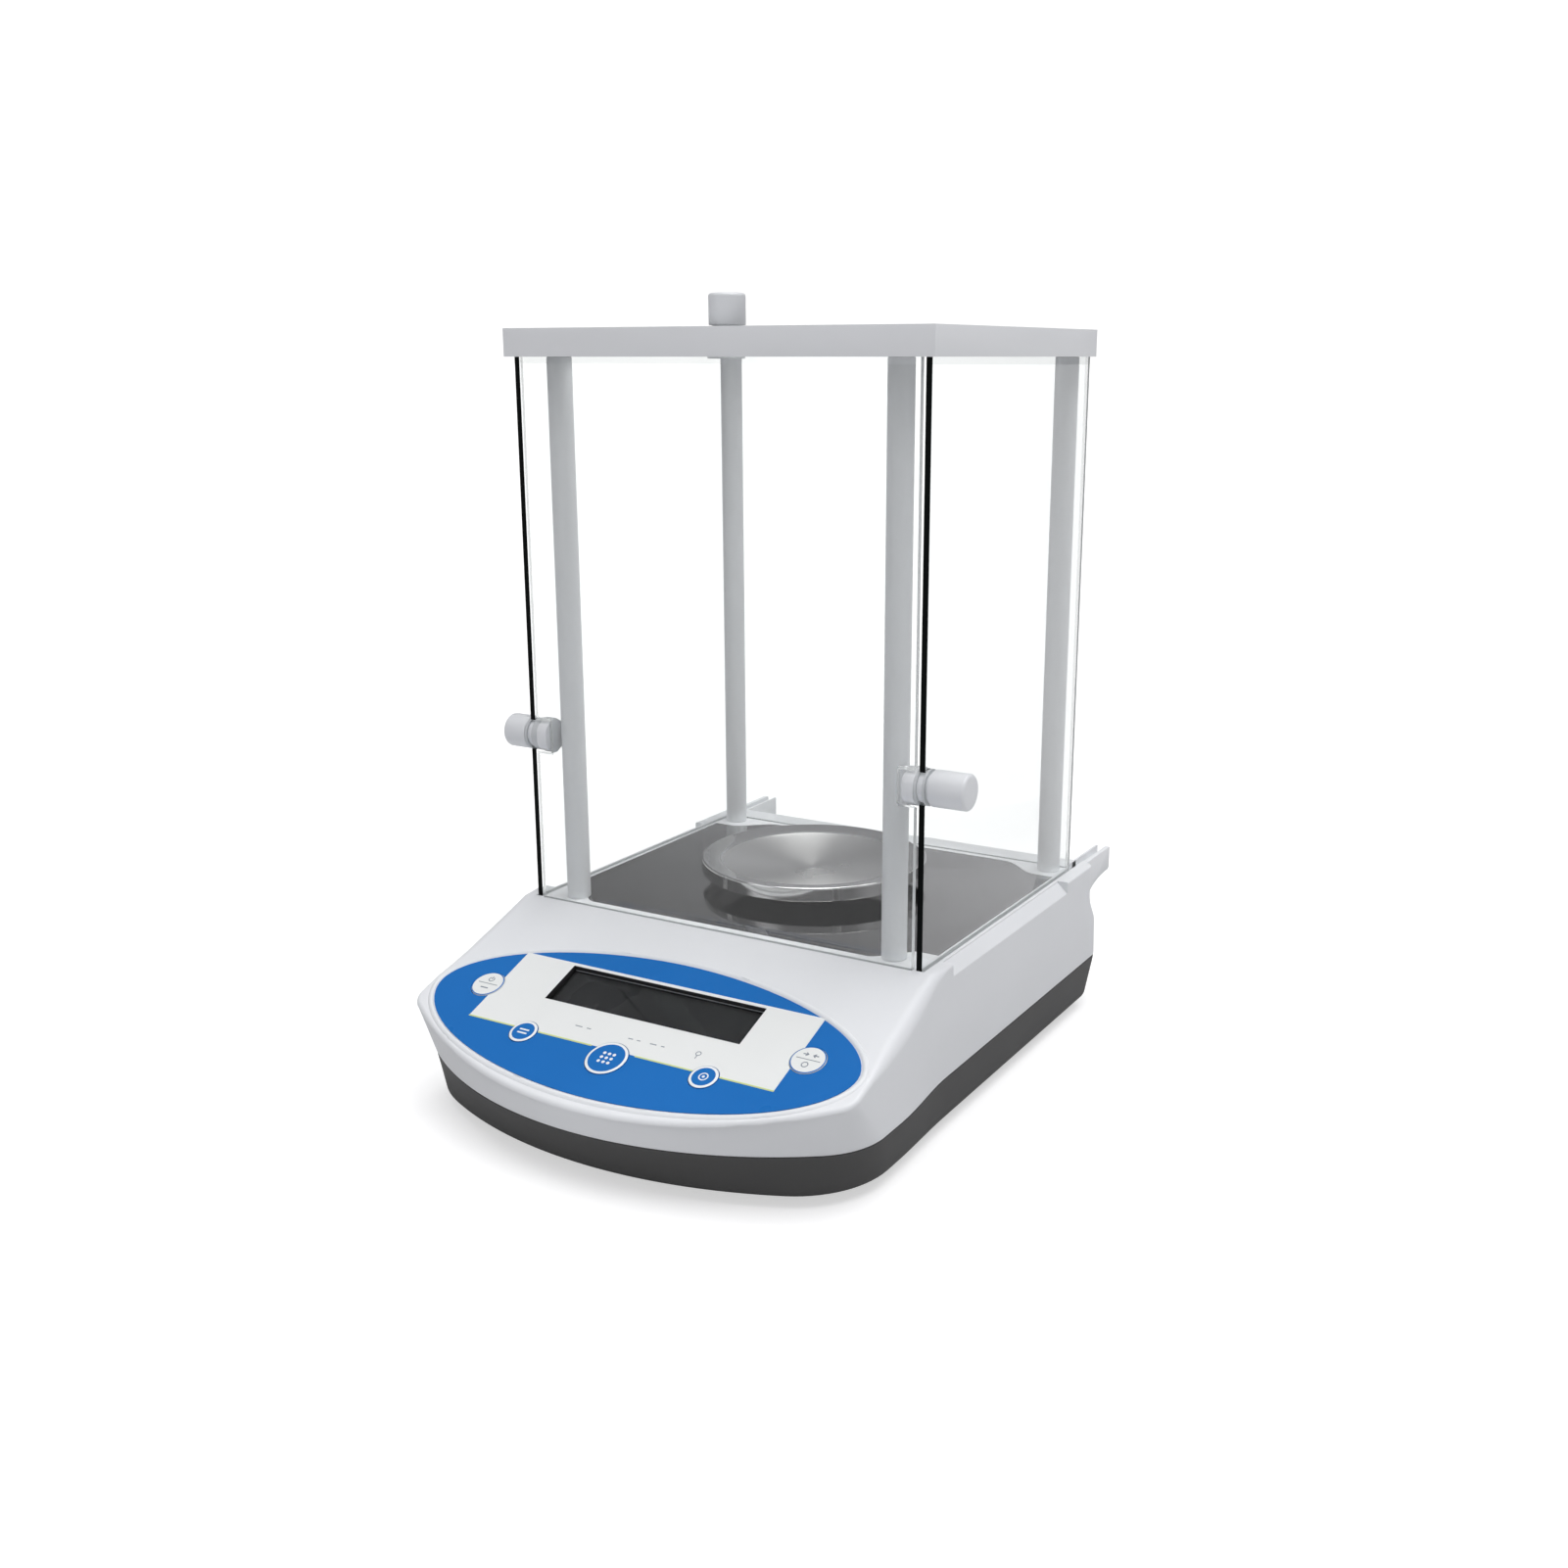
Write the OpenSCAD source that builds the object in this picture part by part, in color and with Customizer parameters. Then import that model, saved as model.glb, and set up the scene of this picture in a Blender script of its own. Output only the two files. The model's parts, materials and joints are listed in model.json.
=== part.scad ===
// Laboratory analytical balance with a glass draught shield.
// Millimetres, +Z up, the front looks along -Y, the table is the plane z = 0
// and the origin is under the middle of the whole object.

/* [Body] */
// Width of the housing
body_w = 199; // [196:1:202]
// From the middle of the weighing chamber to the tip of the nose
nose_reach = 173; // [165:0.1:180]
// From the middle of the chamber to the ends of the door rails
rail_reach = 120; // [115:1:130]
// Radius of the nose in plan, at the edge of the control panel
nose_r = 182; // [175:1:190]
// Radius of the two front corners at the edge of the control panel
corner_r = 9; // [8:1:12]
// Height of the deck above the lowest edge of the housing
body_h = 64.5; // [60:0.5:70]
// Height of the seam above the lowest edge of the housing
seam_h = 18; // [15:0.5:20]
// Gap between the housing and the table at the lowest foot setting
foot_gap = 4.5; // [3:0.5:6]
// Wall thickness of both shells
wall = 2.5; // [2:0.1:3]

/* [Control panel] */
// Downward tilt of the control panel in degrees
panel_tilt = 20.7; // [19:0.1:22]
// Half width of the blue keypad field
oval_w = 96.4; // [90:0.1:96.5]
// Reach of the keypad field uphill of its centre line
oval_up = 36.5; // [33:0.5:38]
// Reach of the keypad field downhill of its centre line
oval_down = 39.4; // [36:0.1:40]
// Width of the display opening
display_w = 92; // [85:1:95]
// Height of the display opening
display_h = 21.7; // [20:0.1:23]
// Travel of a key
key_travel = 0.6; // [0.3:0.1:0.6]

/* [Draught shield] */
// Width of the top frame
frame_w = 190; // [188:1:192]
// Depth of the top frame
frame_d = 153.2; // [152:0.2:156]
// Thickness of the top frame
frame_t = 10.9; // [10.5:0.1:12]
// Clear height from the deck to the top frame
chamber_h = 224.8; // [180:0.2:260]
// Diameter of the four posts
post_d = 10; // [9:0.5:10]
// Thickness of every glass pane
glass_t = 2.4; // [2:0.1:2.6]
// Diameter of the door knobs
knob_d = 14; // [12:0.5:15]
// Diameter of the clamp nuts inside the doors
nut_d = 14.8; // [14:0.2:16]

/* [Weighing pan] */
// Outer diameter of the pan
pan_d = 97.5; // [80:0.5:110]
// Height of the pan's rim above the deck
pan_top = 12.3; // [12:0.1:16]
// Height of the pan's skirt
pan_skirt = 6; // [5:0.5:6]
// Thickness of the pan's sheet
pan_t = 1; // [0.8:0.1:1.2]

/* [Hidden] */
$fn = 72;
eps = 0.01;

// Colours
white = [0.90, 0.91, 0.92];
pale = [0.80, 0.81, 0.83];
dark = [0.28, 0.28, 0.28];
blue = [0.10, 0.38, 0.73];
steel = [0.55, 0.55, 0.56];
bright = [0.78, 0.79, 0.80];
clear = [0.80, 0.90, 0.92, 0.35];
board_green = [0.10, 0.42, 0.25];
black = [0.10, 0.10, 0.11];

// Main levels and places. y is counted from the middle of the chamber inside place().
half_w = body_w / 2;
chamber_y = (nose_reach - rail_reach) / 2;
base_z = foot_gap;
seam_z = base_z + seam_h;
deck_z = base_z + body_h;
frame_z = deck_z + chamber_h;
crease_y = -76.1;         // where the deck turns down into the control panel
rear_top_y = 92;          // rear edge of the deck
rear_seam_y = 103;        // rear of the housing at the seam
rear_corner_r = 8;
// Outlines in plan: tip of the nose, nose radius, corner radius, half widths at front and rear, rear edge
rim_plan = [-nose_reach, nose_r, corner_r, half_w + 2, half_w, rear_seam_y];
seam_plan = [-nose_reach, 150, 30, half_w + 2.2, half_w - 0.9, rear_seam_y];
foot_plan = [-nose_reach + 8, 185, 40, half_w + 0.4, half_w - 0.6, rear_seam_y - 12];
rim_depth = 27;           // the outline keeps its shape from the deck down to here
pan_y = 4.2;              // the pan sits a little behind the middle of the chamber
fit = 0.05;               // play between pieces that are screwed together

// Places of the posts, screws and feet, on the right-hand side
front_post = [76.35, -64.24];
rear_post = [82.7, 71.24];
front_foot = [76, -116];
rear_foot = [78, 66];
front_screw = [74, -142];
rear_screw = [66, 86];

// Panes
door_x = 91.2;            // middle of the side door's glass
door_y = [-73.3, 76.3];   // front and rear edges of the side doors when closed
pane_play = 0.25;         // play of a pane in its groove
outer_play = 1;           // the doors' grooves are wider on their outer side
groove_depth = 3.5;
front_pane_y = -73.1;
rear_pane_y = 78.3;
pane_half = 88.6;         // half width of the two fixed panes
knob_y = -69.5;           // side door knob, from the middle of the chamber
knob_z = 71.2;             // side door knob, above the deck
top_knob_y = -60;

// Top frame window and the glass that closes it
window_w = 138;
window_front = -69.5;
window_rear = 66;
rear_bar_h = 4.3;
top_glass_gap = 5.2;      // underside of the top glass above the underside of the frame

// Control panel: u runs downhill from the crease
oval_u = 58.3;
oval_power = 1.9;         // 2 would be an ellipse
film_t = 0.4;
white_u = [33.9, 73.1];
white_w = 140.4;
display_u = 45.25;
key_rise = 0.3;           // a key stands this far above the film
key_gap = 0.25;           // play around a key

module place() translate([0, chamber_y, 0]) children();
module both_sides() for (side = [-1, 1]) scale_x(side) children();
module scale_x(side) mirror([side < 0 ? 1 : 0, 0, 0]) children();
module at_four(front, rear) both_sides() for (p = [front, rear]) translate([p[0], p[1], 0]) children();
module box(low, high) translate(low) cube([for (i = [0:2]) high[i] - low[i]]);
module tube_x(d, x0, x1) translate([x0, 0, 0]) rotate([0, 90, 0]) cylinder(d = d, h = x1 - x0);

// Frame of the control panel: x across, y uphill, z out of the surface, origin on the crease
module on_panel() place() translate([0, crease_y, deck_z]) rotate([panel_tilt, 0, 0]) children();

function arc(centre, r, from, to, steps) =
    [for (i = [0:steps]) let (a = from + (to - from) * i / steps) centre + r * [cos(a), sin(a)]];
function mirrored(points) = [for (i = [len(points) - 1:-1:0]) [-points[i][0], points[i][1]]];

// One of the outlines in plan, shrunk by d all round
module plan(shape, d = 0) {
    nose_c = [0, shape[0] + shape[1]];
    corner_x = shape[3] - shape[2];
    reach = shape[1] - shape[2];
    corner_c = [corner_x, nose_c[1] - sqrt(reach * reach - corner_x * corner_x)];
    rear_c = [shape[4] - rear_corner_r, shape[5] - rear_corner_r];
    turn = atan2(corner_c[1] - nose_c[1], corner_x);
    right = concat(arc(nose_c, shape[1] - d, -90, turn, 16),
                   arc(corner_c, shape[2] - d, turn, 0, 10),
                   arc(rear_c, rear_corner_r - d, 0, 90, 8));
    polygon(concat(right, mirrored(right)));
}

function panel_drop(y) = (crease_y - y) * tan(panel_tilt);
// Rear face of the housing: upright, then swept out towards the seam
function rear_face(d) = [for (i = [0:10]) let (u = i / 10)
    [rear_top_y + 8 * (1 - cos(180 * u)) / 2 - d, deck_z - 14 - 17 * u]];

// Side view of the white housing, shrunk by d, from the height z_low up
module housing_side(d, z_low) {
    nose_y = -nose_reach + 0.7 + d;
    crease_shift = d * (1 / cos(panel_tilt) - 1) / tan(panel_tilt);
    polygon(concat(
        [[-nose_reach + d, z_low],
         [nose_y, deck_z - panel_drop(nose_y) - d / cos(panel_tilt)],
         [crease_y + crease_shift, deck_z - d],
         [rear_top_y - d, deck_z - d]],
        rear_face(d),
        [[rear_seam_y - d, z_low]]));
}

// Draws a side view across the whole width
module across(width) rotate([90, 0, 90]) translate([0, 0, -width / 2]) linear_extrude(width) children();

// Towards the seam the front corners draw in and turn rounder
module solid_housing(d, z_low) intersection() {
    hull() {
        translate([0, 0, deck_z - rim_depth]) linear_extrude(rim_depth) plan(rim_plan, d);
        translate([0, 0, z_low]) linear_extrude(eps) plan(seam_plan, d);
    }
    across(body_w + 10) housing_side(d, z_low);
}

// The dark base draws in towards the table, most of all at the back
module solid_base(d) hull() {
    translate([0, 0, base_z]) linear_extrude(eps) plan(foot_plan, d + 0.3);
    translate([0, 0, seam_z - eps]) linear_extrude(eps) plan(seam_plan, d);
}

// One half of the deck plate's outline: the corners sweep in around the posts
function sweep(from, to, steps) = [for (i = [0:steps]) let (u = i / steps)
    [from[0] + (to[0] - from[0]) * u, from[1] + (to[1] - from[1]) * (1 - cos(180 * u)) / 2]];
module plate_outline(play = 0) {
    right = concat(sweep([66, -67.7 - play], [82, -54.5 - play], 10),
                   [[88.6 + play, -54.5 - play], [88.6 + play, 61.6 + play]],
                   sweep([80, 61.6 + play], [60, 73.8 + play], 10));
    polygon(concat(right, mirrored(right)));
}

// Keypad field: a wide oval, fuller than a lens and leaner than an ellipse
module oval(grow = 0) polygon([for (i = [0:95]) let (
    a = i * 360 / 96,
    c = cos(a),
    s = sin(a),
    reach = s > 0 ? oval_up : oval_down)
    [(oval_w + grow) * sign(c) * pow(abs(c), 2 / oval_power),
     -oval_u + (reach + grow) * sign(s) * pow(abs(s), 2 / oval_power)]]);

// The five keys: place across, place downhill, radius
power_at = [-74.6, 55.4, 6.9];
unit_at = [-41.6, 74.9, 5.7];
count_at = [0, 77.6, 8.4];
calibrate_at = [41.6, 74.9, 5.7];
tare_at = [74.6, 55.4, 6.9];
keys_at = [power_at, unit_at, count_at, calibrate_at, tare_at];
module at_keys() for (k = keys_at) translate([k[0], -k[1], 0]) children();
module key_holes(low, high) for (k = keys_at)
    translate([k[0], -k[1], low]) cylinder(r = k[2] + key_gap, h = high - low);
module display_opening(low, high, grow = 0)
    box([-display_w / 2 - grow, -display_u - display_h / 2 - grow, low],
        [display_w / 2 + grow, -display_u + display_h / 2 + grow, high]);

// ---------- Housing ----------
foot_pocket_r = 13;
foot_pocket_h = 7;
foot_stud_r = 4;
foot_boss_h = 8;
shell_screw_r = 1.8;
shell_boss_r = 4.5;

module bottom_shell() color(dark) place() difference() {
    union() {
        difference() {
            solid_base(0);
            translate([0, 0, wall]) solid_base(wall);
        }
        at_four(front_foot, rear_foot) {
            translate([0, 0, base_z]) cylinder(r = foot_pocket_r + wall, h = foot_pocket_h + wall);
            translate([0, 0, base_z]) cylinder(r = foot_stud_r + wall, h = foot_pocket_h + foot_boss_h);
        }
        at_four(front_screw, rear_screw)
            translate([0, 0, base_z]) cylinder(r = shell_boss_r + 1, h = seam_h);
        for (p = board_holes) translate([p[0], p[1], base_z]) cylinder(r = 3.5, h = board_z - base_z);
    }
    at_four(front_foot, rear_foot) {
        translate([0, 0, base_z - eps]) cylinder(r = foot_pocket_r, h = foot_pocket_h + eps);
        translate([0, 0, base_z]) cylinder(r = foot_stud_r, h = body_h);
    }
    at_four(front_screw, rear_screw) {
        translate([0, 0, base_z - eps]) cylinder(r = 3.6, h = 8);
        translate([0, 0, base_z]) cylinder(r = shell_screw_r, h = body_h);
    }
    for (p = board_holes) translate([p[0], p[1], board_z - 8]) cylinder(r = 1.2, h = 9);
}

rail_x = [88.6, 97];
wing_x = [88.6, 95.7];
wing_h = 11;

module wing_side() polygon(concat(
    [[rear_top_y - 1, deck_z], [rail_reach, deck_z], [rail_reach, deck_z - wing_h + 1]],
    [for (i = [0:8]) let (a = 90 * i / 8)
        [rail_reach - 1 - (rail_reach - rear_top_y - 2) * sin(a), deck_z - wing_h - 8 + 8 * cos(a)]],
    [[rear_top_y - 1, deck_z - wing_h - 8]]));

module door_groove(z_low, z_high, y_low, y_high) both_sides()
    box([door_x - glass_t / 2 - pane_play, y_low, z_low],
        [door_x + glass_t / 2 + outer_play, y_high, z_high]);
module pane_groove(y, z_low, z_high)
    box([-pane_half - pane_play, y - glass_t / 2 - pane_play, z_low],
        [pane_half + pane_play, y + glass_t / 2 + pane_play, z_high]);

module housing_ribs() {
    // thick seats under the door rails and under the fixed panes
    both_sides() box([rail_x[0] - 1, crease_y + 1, deck_z - 7], [rail_x[1], rear_top_y - 1, deck_z - 1]);
    box([-90, front_pane_y - 3.2, deck_z - 6], [90, front_pane_y + 3.2, deck_z - 1]);
    box([-90, rear_pane_y - 3.2, deck_z - 6], [90, rear_pane_y + 3.2, deck_z - 1]);
}

module shoulder_cut() both_sides() translate([0, 57, 0]) rotate([90, 0, 0]) linear_extrude(117)
    polygon([[95.4, deck_z + 1], [95.4, deck_z - 0.6], [half_w + 3, deck_z - 7], [half_w + 3, deck_z + 1]]);

module top_housing() color(white) difference() {
    union() {
        place() difference() {
            solid_housing(0, seam_z);
            solid_housing(wall, seam_z - eps);
        }
        place() intersection() {
            solid_housing(0, seam_z);
            union() {
                housing_ribs();
                at_four(front_post, rear_post) translate([0, 0, deck_z - 9]) cylinder(d = 11, h = 8);
                at_four(front_screw, rear_screw)
                    translate([0, 0, seam_z]) cylinder(r = shell_boss_r, h = body_h);
                translate([0, pan_y, deck_z - 6]) cylinder(d = 26, h = 5);
            }
        }
        place() both_sides() translate([wing_x[0], 0, 0]) rotate([90, 0, 90])
            linear_extrude(wing_x[1] - wing_x[0]) wing_side();
        on_panel() at_panel_bosses() translate([0, 0, -6.4]) cylinder(r = 3, h = 5);
    }
    place() {
        translate([0, 0, deck_z - 1.1]) linear_extrude(2) plate_outline(0.15);
        translate([0, pan_y, deck_z - 10]) cylinder(d = 18, h = 12);
        door_groove(deck_z - groove_depth, deck_z + 1, door_y[0] - 0.3, rail_reach + 1);
        pane_groove(front_pane_y, deck_z - 2.6, deck_z + 1);
        pane_groove(rear_pane_y, deck_z - 2.6, deck_z + 1);
        at_four(front_post, rear_post) translate([0, 0, deck_z - 10]) cylinder(r = 2.1, h = 12);
        at_four(front_screw, rear_screw)
            translate([0, 0, seam_z - eps]) cylinder(r = shell_screw_r - 0.3, h = 14);
        shoulder_cut();
    }
    power_socket_body(0.1);
    data_port_body(0.1);
    on_panel() {
        key_holes(-wall - 1, 1);
        display_opening(-wall - 1, 1);
        at_panel_bosses() translate([0, 0, -6.5]) cylinder(r = 1.1, h = 4.5);
    }
}

module at_panel_bosses() for (x = [-56, 56], u = [38, 83]) translate([x, -u, 0]) children();

screw_head_r = 3.3;
module screw_up(r, length, head_h = 2.4) {
    translate([0, 0, -head_h]) difference() {
        cylinder(r = screw_head_r, h = head_h);
        translate([0, 0, -eps]) cylinder(r = 1.5, h = 1.4, $fn = 6);
    }
    cylinder(r = r, h = length);
}
module housing_screws() color(steel) place() at_four(front_screw, rear_screw)
    translate([0, 0, base_z + 8 - eps]) screw_up(shell_screw_r - 0.3 - fit, 20);

// ---------- Control panel ----------
module keypad_overlay() color(blue) on_panel() difference() {
    linear_extrude(film_t) oval();
    box([-white_w / 2, -white_u[1], -1], [white_w / 2, -white_u[0], 1]);
    key_holes(-1, 1);
}

module display_bezel() color(white) on_panel() difference() {
    intersection() {
        linear_extrude(film_t) oval();
        box([-white_w / 2 + 0.02, -white_u[1] + 0.02, -1], [white_w / 2 - 0.02, -white_u[0] - 0.02, 1]);
    }
    display_opening(-1, 1, -0.6);
    key_holes(-1, 1);
}

window_z = [-2.6, -1.4];
module display_window() color([0.25, 0.26, 0.27, 0.6]) on_panel()
    display_opening(window_z[0], window_z[1], -0.1);

board_top = -6.4;
module lcd_module() color(dark) on_panel() difference() {
    box([-50, -display_u - 13.5, board_top], [50, -display_u + 13.5, window_z[0] - 0.1]);
    box([-44, -display_u - 9.8, window_z[0] - 0.5], [44, -display_u + 9.8, 0]);
}

dome_h = 0.8;
module display_board() color(board_green) on_panel() difference() {
    union() {
        box([-82, -66, board_top - 1.6], [82, -33, board_top]);
        box([-60, -87, board_top - 1.6], [60, -65, board_top]);
        at_keys() cylinder_between(3, board_top, board_top + dome_h);
        box([-10, -44, board_top - 6], [10, -38, board_top - 1.6]);
    }
    at_panel_bosses() translate([0, 0, board_top - 2]) cylinder(r = 1.3, h = 3);
}
module cylinder_between(r, low, high) translate([0, 0, low]) cylinder(r = r, h = high - low);

board_z = base_z + 10;
board_holes = [[-82, -36], [-30, -36], [-82, 52], [-30, 52]];
module board_screws() color(steel) {
    on_panel() at_panel_bosses() {
        cylinder_between(2.2, board_top - 3.2, board_top - 1.6);
        cylinder_between(1.1 - fit, board_top - 1.7, board_top + 3);
    }
    place() for (p = board_holes) translate([p[0], p[1], board_z + 1.6]) {
        cylinder(r = 2.2, h = 1.6);
        translate([0, 0, -6]) cylinder(r = 1.2 - fit, h = 6.1);
    }
}

module main_board() color(board_green) place() difference() {
    union() {
        box([-86, -40, board_z], [-26, 56, board_z + 1.6]);
        box([-66, -6, board_z + 1.6], [-50, 10, board_z + 3.6]);      // processor
        box([-44, 12, board_z + 1.6], [-34, 22, board_z + 3.6]);      // converter
        box([-72, -38, board_z + 1.6], [-46, -33, board_z + header_h]);  // ribbon header
        for (x = [-74, -62]) translate([x, 34, board_z + 1.6]) cylinder(r = 4, h = 10);
        box([-48, 32, board_z + 1.6], [-36, 46, board_z + 7]);        // regulator
    }
    for (p = board_holes) translate([p[0], p[1], board_z - 1]) cylinder(r = 1.3, h = 4);
}

// Flat cable from the display board back and down to the main board's header
header_h = 9;
cable_t = 0.9;
module ribbon_cable() color(pale) place() {
    top = [crease_y - 40, deck_z - 30];
    low = [-35.5, board_z + header_h + cable_t];
    path = [top, [top[0] + 12, top[1] - 4], [low[0] - 24, low[1] + 12], [low[0] - 6, low[1] + 9],
            [low[0], low[1] + 5], low];
    translate([-70, 0, 0]) rotate([90, 0, 90]) linear_extrude(22)
        polygon(concat([for (p = path) p + [0.5, 0]],
                       [for (i = [len(path) - 1:-1:0]) path[i] - [0.5, cable_t]]));
}

module key(at) on_panel() translate([at[0], -at[1], 0]) {
    cylinder_between(at[2], -1.6, film_t + key_rise);
    cylinder_between(2, board_top + dome_h + key_travel + 0.1, -1.5);
}
module power_key() color(white) key(power_at);
module unit_key() color(blue) key(unit_at);
module count_key() color(blue) key(count_at);
module calibrate_key() color(blue) key(calibrate_at);
module tare_key() color(white) key(tare_at);

// ---------- Weighing cell ----------
cell_z = [base_z + 14, base_z + 40];
cell_hw = 11;
cell_end = 62;
module load_cell() color(bright) place() difference() {
    box([-cell_hw, -cell_end, cell_z[0]], [cell_hw, cell_end, cell_z[1]]);
    for (y = [-13, 13]) translate([0, y, (cell_z[0] + cell_z[1]) / 2]) tube_x(18, -20, 20);
    box([-20, -13, (cell_z[0] + cell_z[1]) / 2 - 3], [20, 13, (cell_z[0] + cell_z[1]) / 2 + 3]);
    for (y = [38, 54]) translate([0, y, cell_z[0] - 1]) cylinder(r = 2.6, h = 30);
    for (y = [-38, -54]) translate([0, y, cell_z[0] - 1]) cylinder(r = 2.6, h = 30);
}
module load_cell_block() color(pale) place() difference() {
    box([-16, 30, base_z + wall], [16, 64, cell_z[0]]);
    for (y = [38, 54]) translate([0, y, 0]) cylinder(r = 2.6, h = 60);
}
arm_t = 4;
module load_arm() color(bright) place() difference() {
    union() {
        box([-cell_hw, -cell_end, cell_z[1] + 0.4], [cell_hw, pan_y + 10, cell_z[1] + 0.4 + arm_t]);
        translate([0, pan_y, cell_z[1] + 0.4]) cylinder(r = 10, h = arm_t + 5);
    }
    for (y = [-38, -54]) translate([0, y, 0]) cylinder(r = 2.6, h = 100);
    translate([0, pan_y, cell_z[1]]) cylinder(r = 4 + fit, h = 20);
}
module load_cell_screws() color(steel) place() for (y = [38, 54]) translate([0, y, 0]) {
    cylinder_between(2.6 - fit, base_z + wall + 1, cell_z[1]);
    cylinder_between(4.4, cell_z[1], cell_z[1] + 4);
}
stem_r = 4.6;
stem_tip_r = 3.2;
hub_r = 6.3;
module at_pan() place() translate([0, pan_y, 0]) children();
stem_top = deck_z + pan_top - 8;
module pan_stem() color(bright) at_pan() {
    cylinder_between(4, cell_z[1] + 0.5, deck_z - 8);
    cylinder_between(stem_r, cell_z[1] + arm_t + 5.4, stem_top - 3);
    translate([0, 0, stem_top - 3 - eps]) cylinder(r1 = stem_r, r2 = stem_tip_r, h = 3);
}

// Pressed pan: upright skirt, sloping rim, round step and a dished floor, with a hub under it
pan_rim_w = 7.5;
pan_floor_drop = 5.5;
module pan_line(t) {
    r = pan_d / 2;
    z = deck_z + pan_top;
    polygon([[0, z - pan_floor_drop - t], [18, z - pan_floor_drop - t],
             [r - pan_rim_w - 9, z - pan_floor_drop + 0.8 - t],
             [r - pan_rim_w - 3, z - 3.6 - t], [r - pan_rim_w - 0.8, z - 1.2 - t],
             [r - t, z - 0.3 - t],
             [r - t, z - pan_skirt], [r, z - pan_skirt], [r, z - 0.6], [r - 0.6, z],
             [r - pan_rim_w, z - 0.9], [r - pan_rim_w - 2.2, z - 3],
             [r - pan_rim_w - 9, z - pan_floor_drop + 0.8],
             [18, z - pan_floor_drop], [0, z - pan_floor_drop]]);
}
module weighing_pan() color(bright) at_pan() difference() {
    union() {
        rotate_extrude() pan_line(pan_t);
        cylinder_between(hub_r, stem_top - 3.4, deck_z + pan_top - pan_floor_drop - pan_t / 2);
    }
    translate([0, 0, stem_top - 3 + fit]) cylinder(r1 = stem_r + fit, r2 = stem_tip_r + fit, h = 3 + eps);
    cylinder_between(stem_r + fit, stem_top - 4, stem_top - 3 + 2 * fit);
}

module deck_plate() color(steel) place() difference() {
    translate([0, 0, deck_z - 1.1]) linear_extrude(1) plate_outline();
    translate([0, pan_y, deck_z - 2]) cylinder(d = 14, h = 4);
}

// ---------- Posts and top frame ----------
module post(at) color(white) place() translate([at[0], at[1], deck_z]) difference() {
    cylinder(d = post_d, h = chamber_h);
    translate([0, 0, -eps]) cylinder(r = 2, h = 16);
    translate([0, 0, chamber_h - 16]) cylinder(r = 2, h = 16 + eps);
}
module front_left_post() post([-front_post[0], front_post[1]]);
module front_right_post() post(front_post);
module rear_left_post() post([-rear_post[0], rear_post[1]]);
module rear_right_post() post(rear_post);

module post_screws() color(steel) place() at_four(front_post, rear_post)
    translate([0, 0, deck_z - 9]) screw_up(2 - fit, 22);

module top_frame() color(white) place() difference() {
    box([-frame_w / 2, -frame_d / 2, frame_z], [frame_w / 2, frame_d / 2, frame_z + frame_t]);
    box([-window_w / 2, window_front, frame_z - 1], [window_w / 2, window_rear, frame_z + frame_t + 1]);
    box([-window_w / 2, 0, frame_z + rear_bar_h], [window_w / 2, frame_d, frame_z + frame_t + 1]);
    box([-window_w / 2 - 2.6, window_front - 2.8, frame_z + top_glass_gap - 0.25],
        [window_w / 2 + 2.6, frame_d, frame_z + top_glass_gap + glass_t + 0.25]);
    door_groove(frame_z - 1, frame_z + groove_depth, door_y[0] - 0.3, frame_d / 2 + 1);
    pane_groove(front_pane_y, frame_z - 1, frame_z + 3);
    at_four(front_post, rear_post) {
        translate([0, 0, frame_z - 1]) cylinder(r = 2.1, h = 20);
        translate([0, 0, frame_z + frame_t - 4]) cylinder(r = 3.6, h = 5);
    }
}
module frame_screws() color(steel) place() at_four(front_post, rear_post)
    translate([0, 0, frame_z + frame_t - 4]) mirror([0, 0, 1]) screw_up(2 - fit, 18);

module fixed_pane(y, z_high)
    box([-pane_half, y - glass_t / 2, deck_z - 2.5], [pane_half, y + glass_t / 2, z_high]);
// The front pane has a round bay in each side edge, so that the door's nut passes it
module front_glass() color(clear) place() difference() {
    fixed_pane(front_pane_y, frame_z + 2.8);
    both_sides() translate([0, knob_y, deck_z + knob_z])
        tube_x(nut_d + 1.4, door_x - glass_t / 2 - left_spacer - nut_l - 0.7, door_x);
}
module rear_glass() color(clear) place() fixed_pane(rear_pane_y, frame_z + rear_bar_h - 0.3);

// ---------- Sliding doors ----------
knob_hole_r = 6.2;
spacer_r = 6;             // part of the stud that sits in the glass
washer_t = 1;
knob_l = 17;
nut_l = 4.9;
left_spacer = 3.1;        // the left nut stands further in, just clear of the front post
left_knob_l = 12.8;       // and the left knob stands out less
left_collar = 1.2;
side_collar = 2.2;
top_collar = 3.8;         // carries the top knob clear of the frame
top_knob_l = 15.6;

// A side door, drawn on the right and mirrored for the left. A notch in its front edge holds the knob.
module door_glass() place() difference() {
    box([door_x - glass_t / 2, door_y[0], deck_z - groove_depth + 0.3],
        [door_x + glass_t / 2, door_y[1], frame_z + groove_depth - 0.4]);
    translate([0, knob_y, deck_z + knob_z]) {
        tube_x(2 * knob_hole_r, door_x - 5, door_x + 5);
        box([door_x - 5, -20, -knob_hole_r], [door_x + 5, 0, knob_hole_r]);
    }
}
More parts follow.
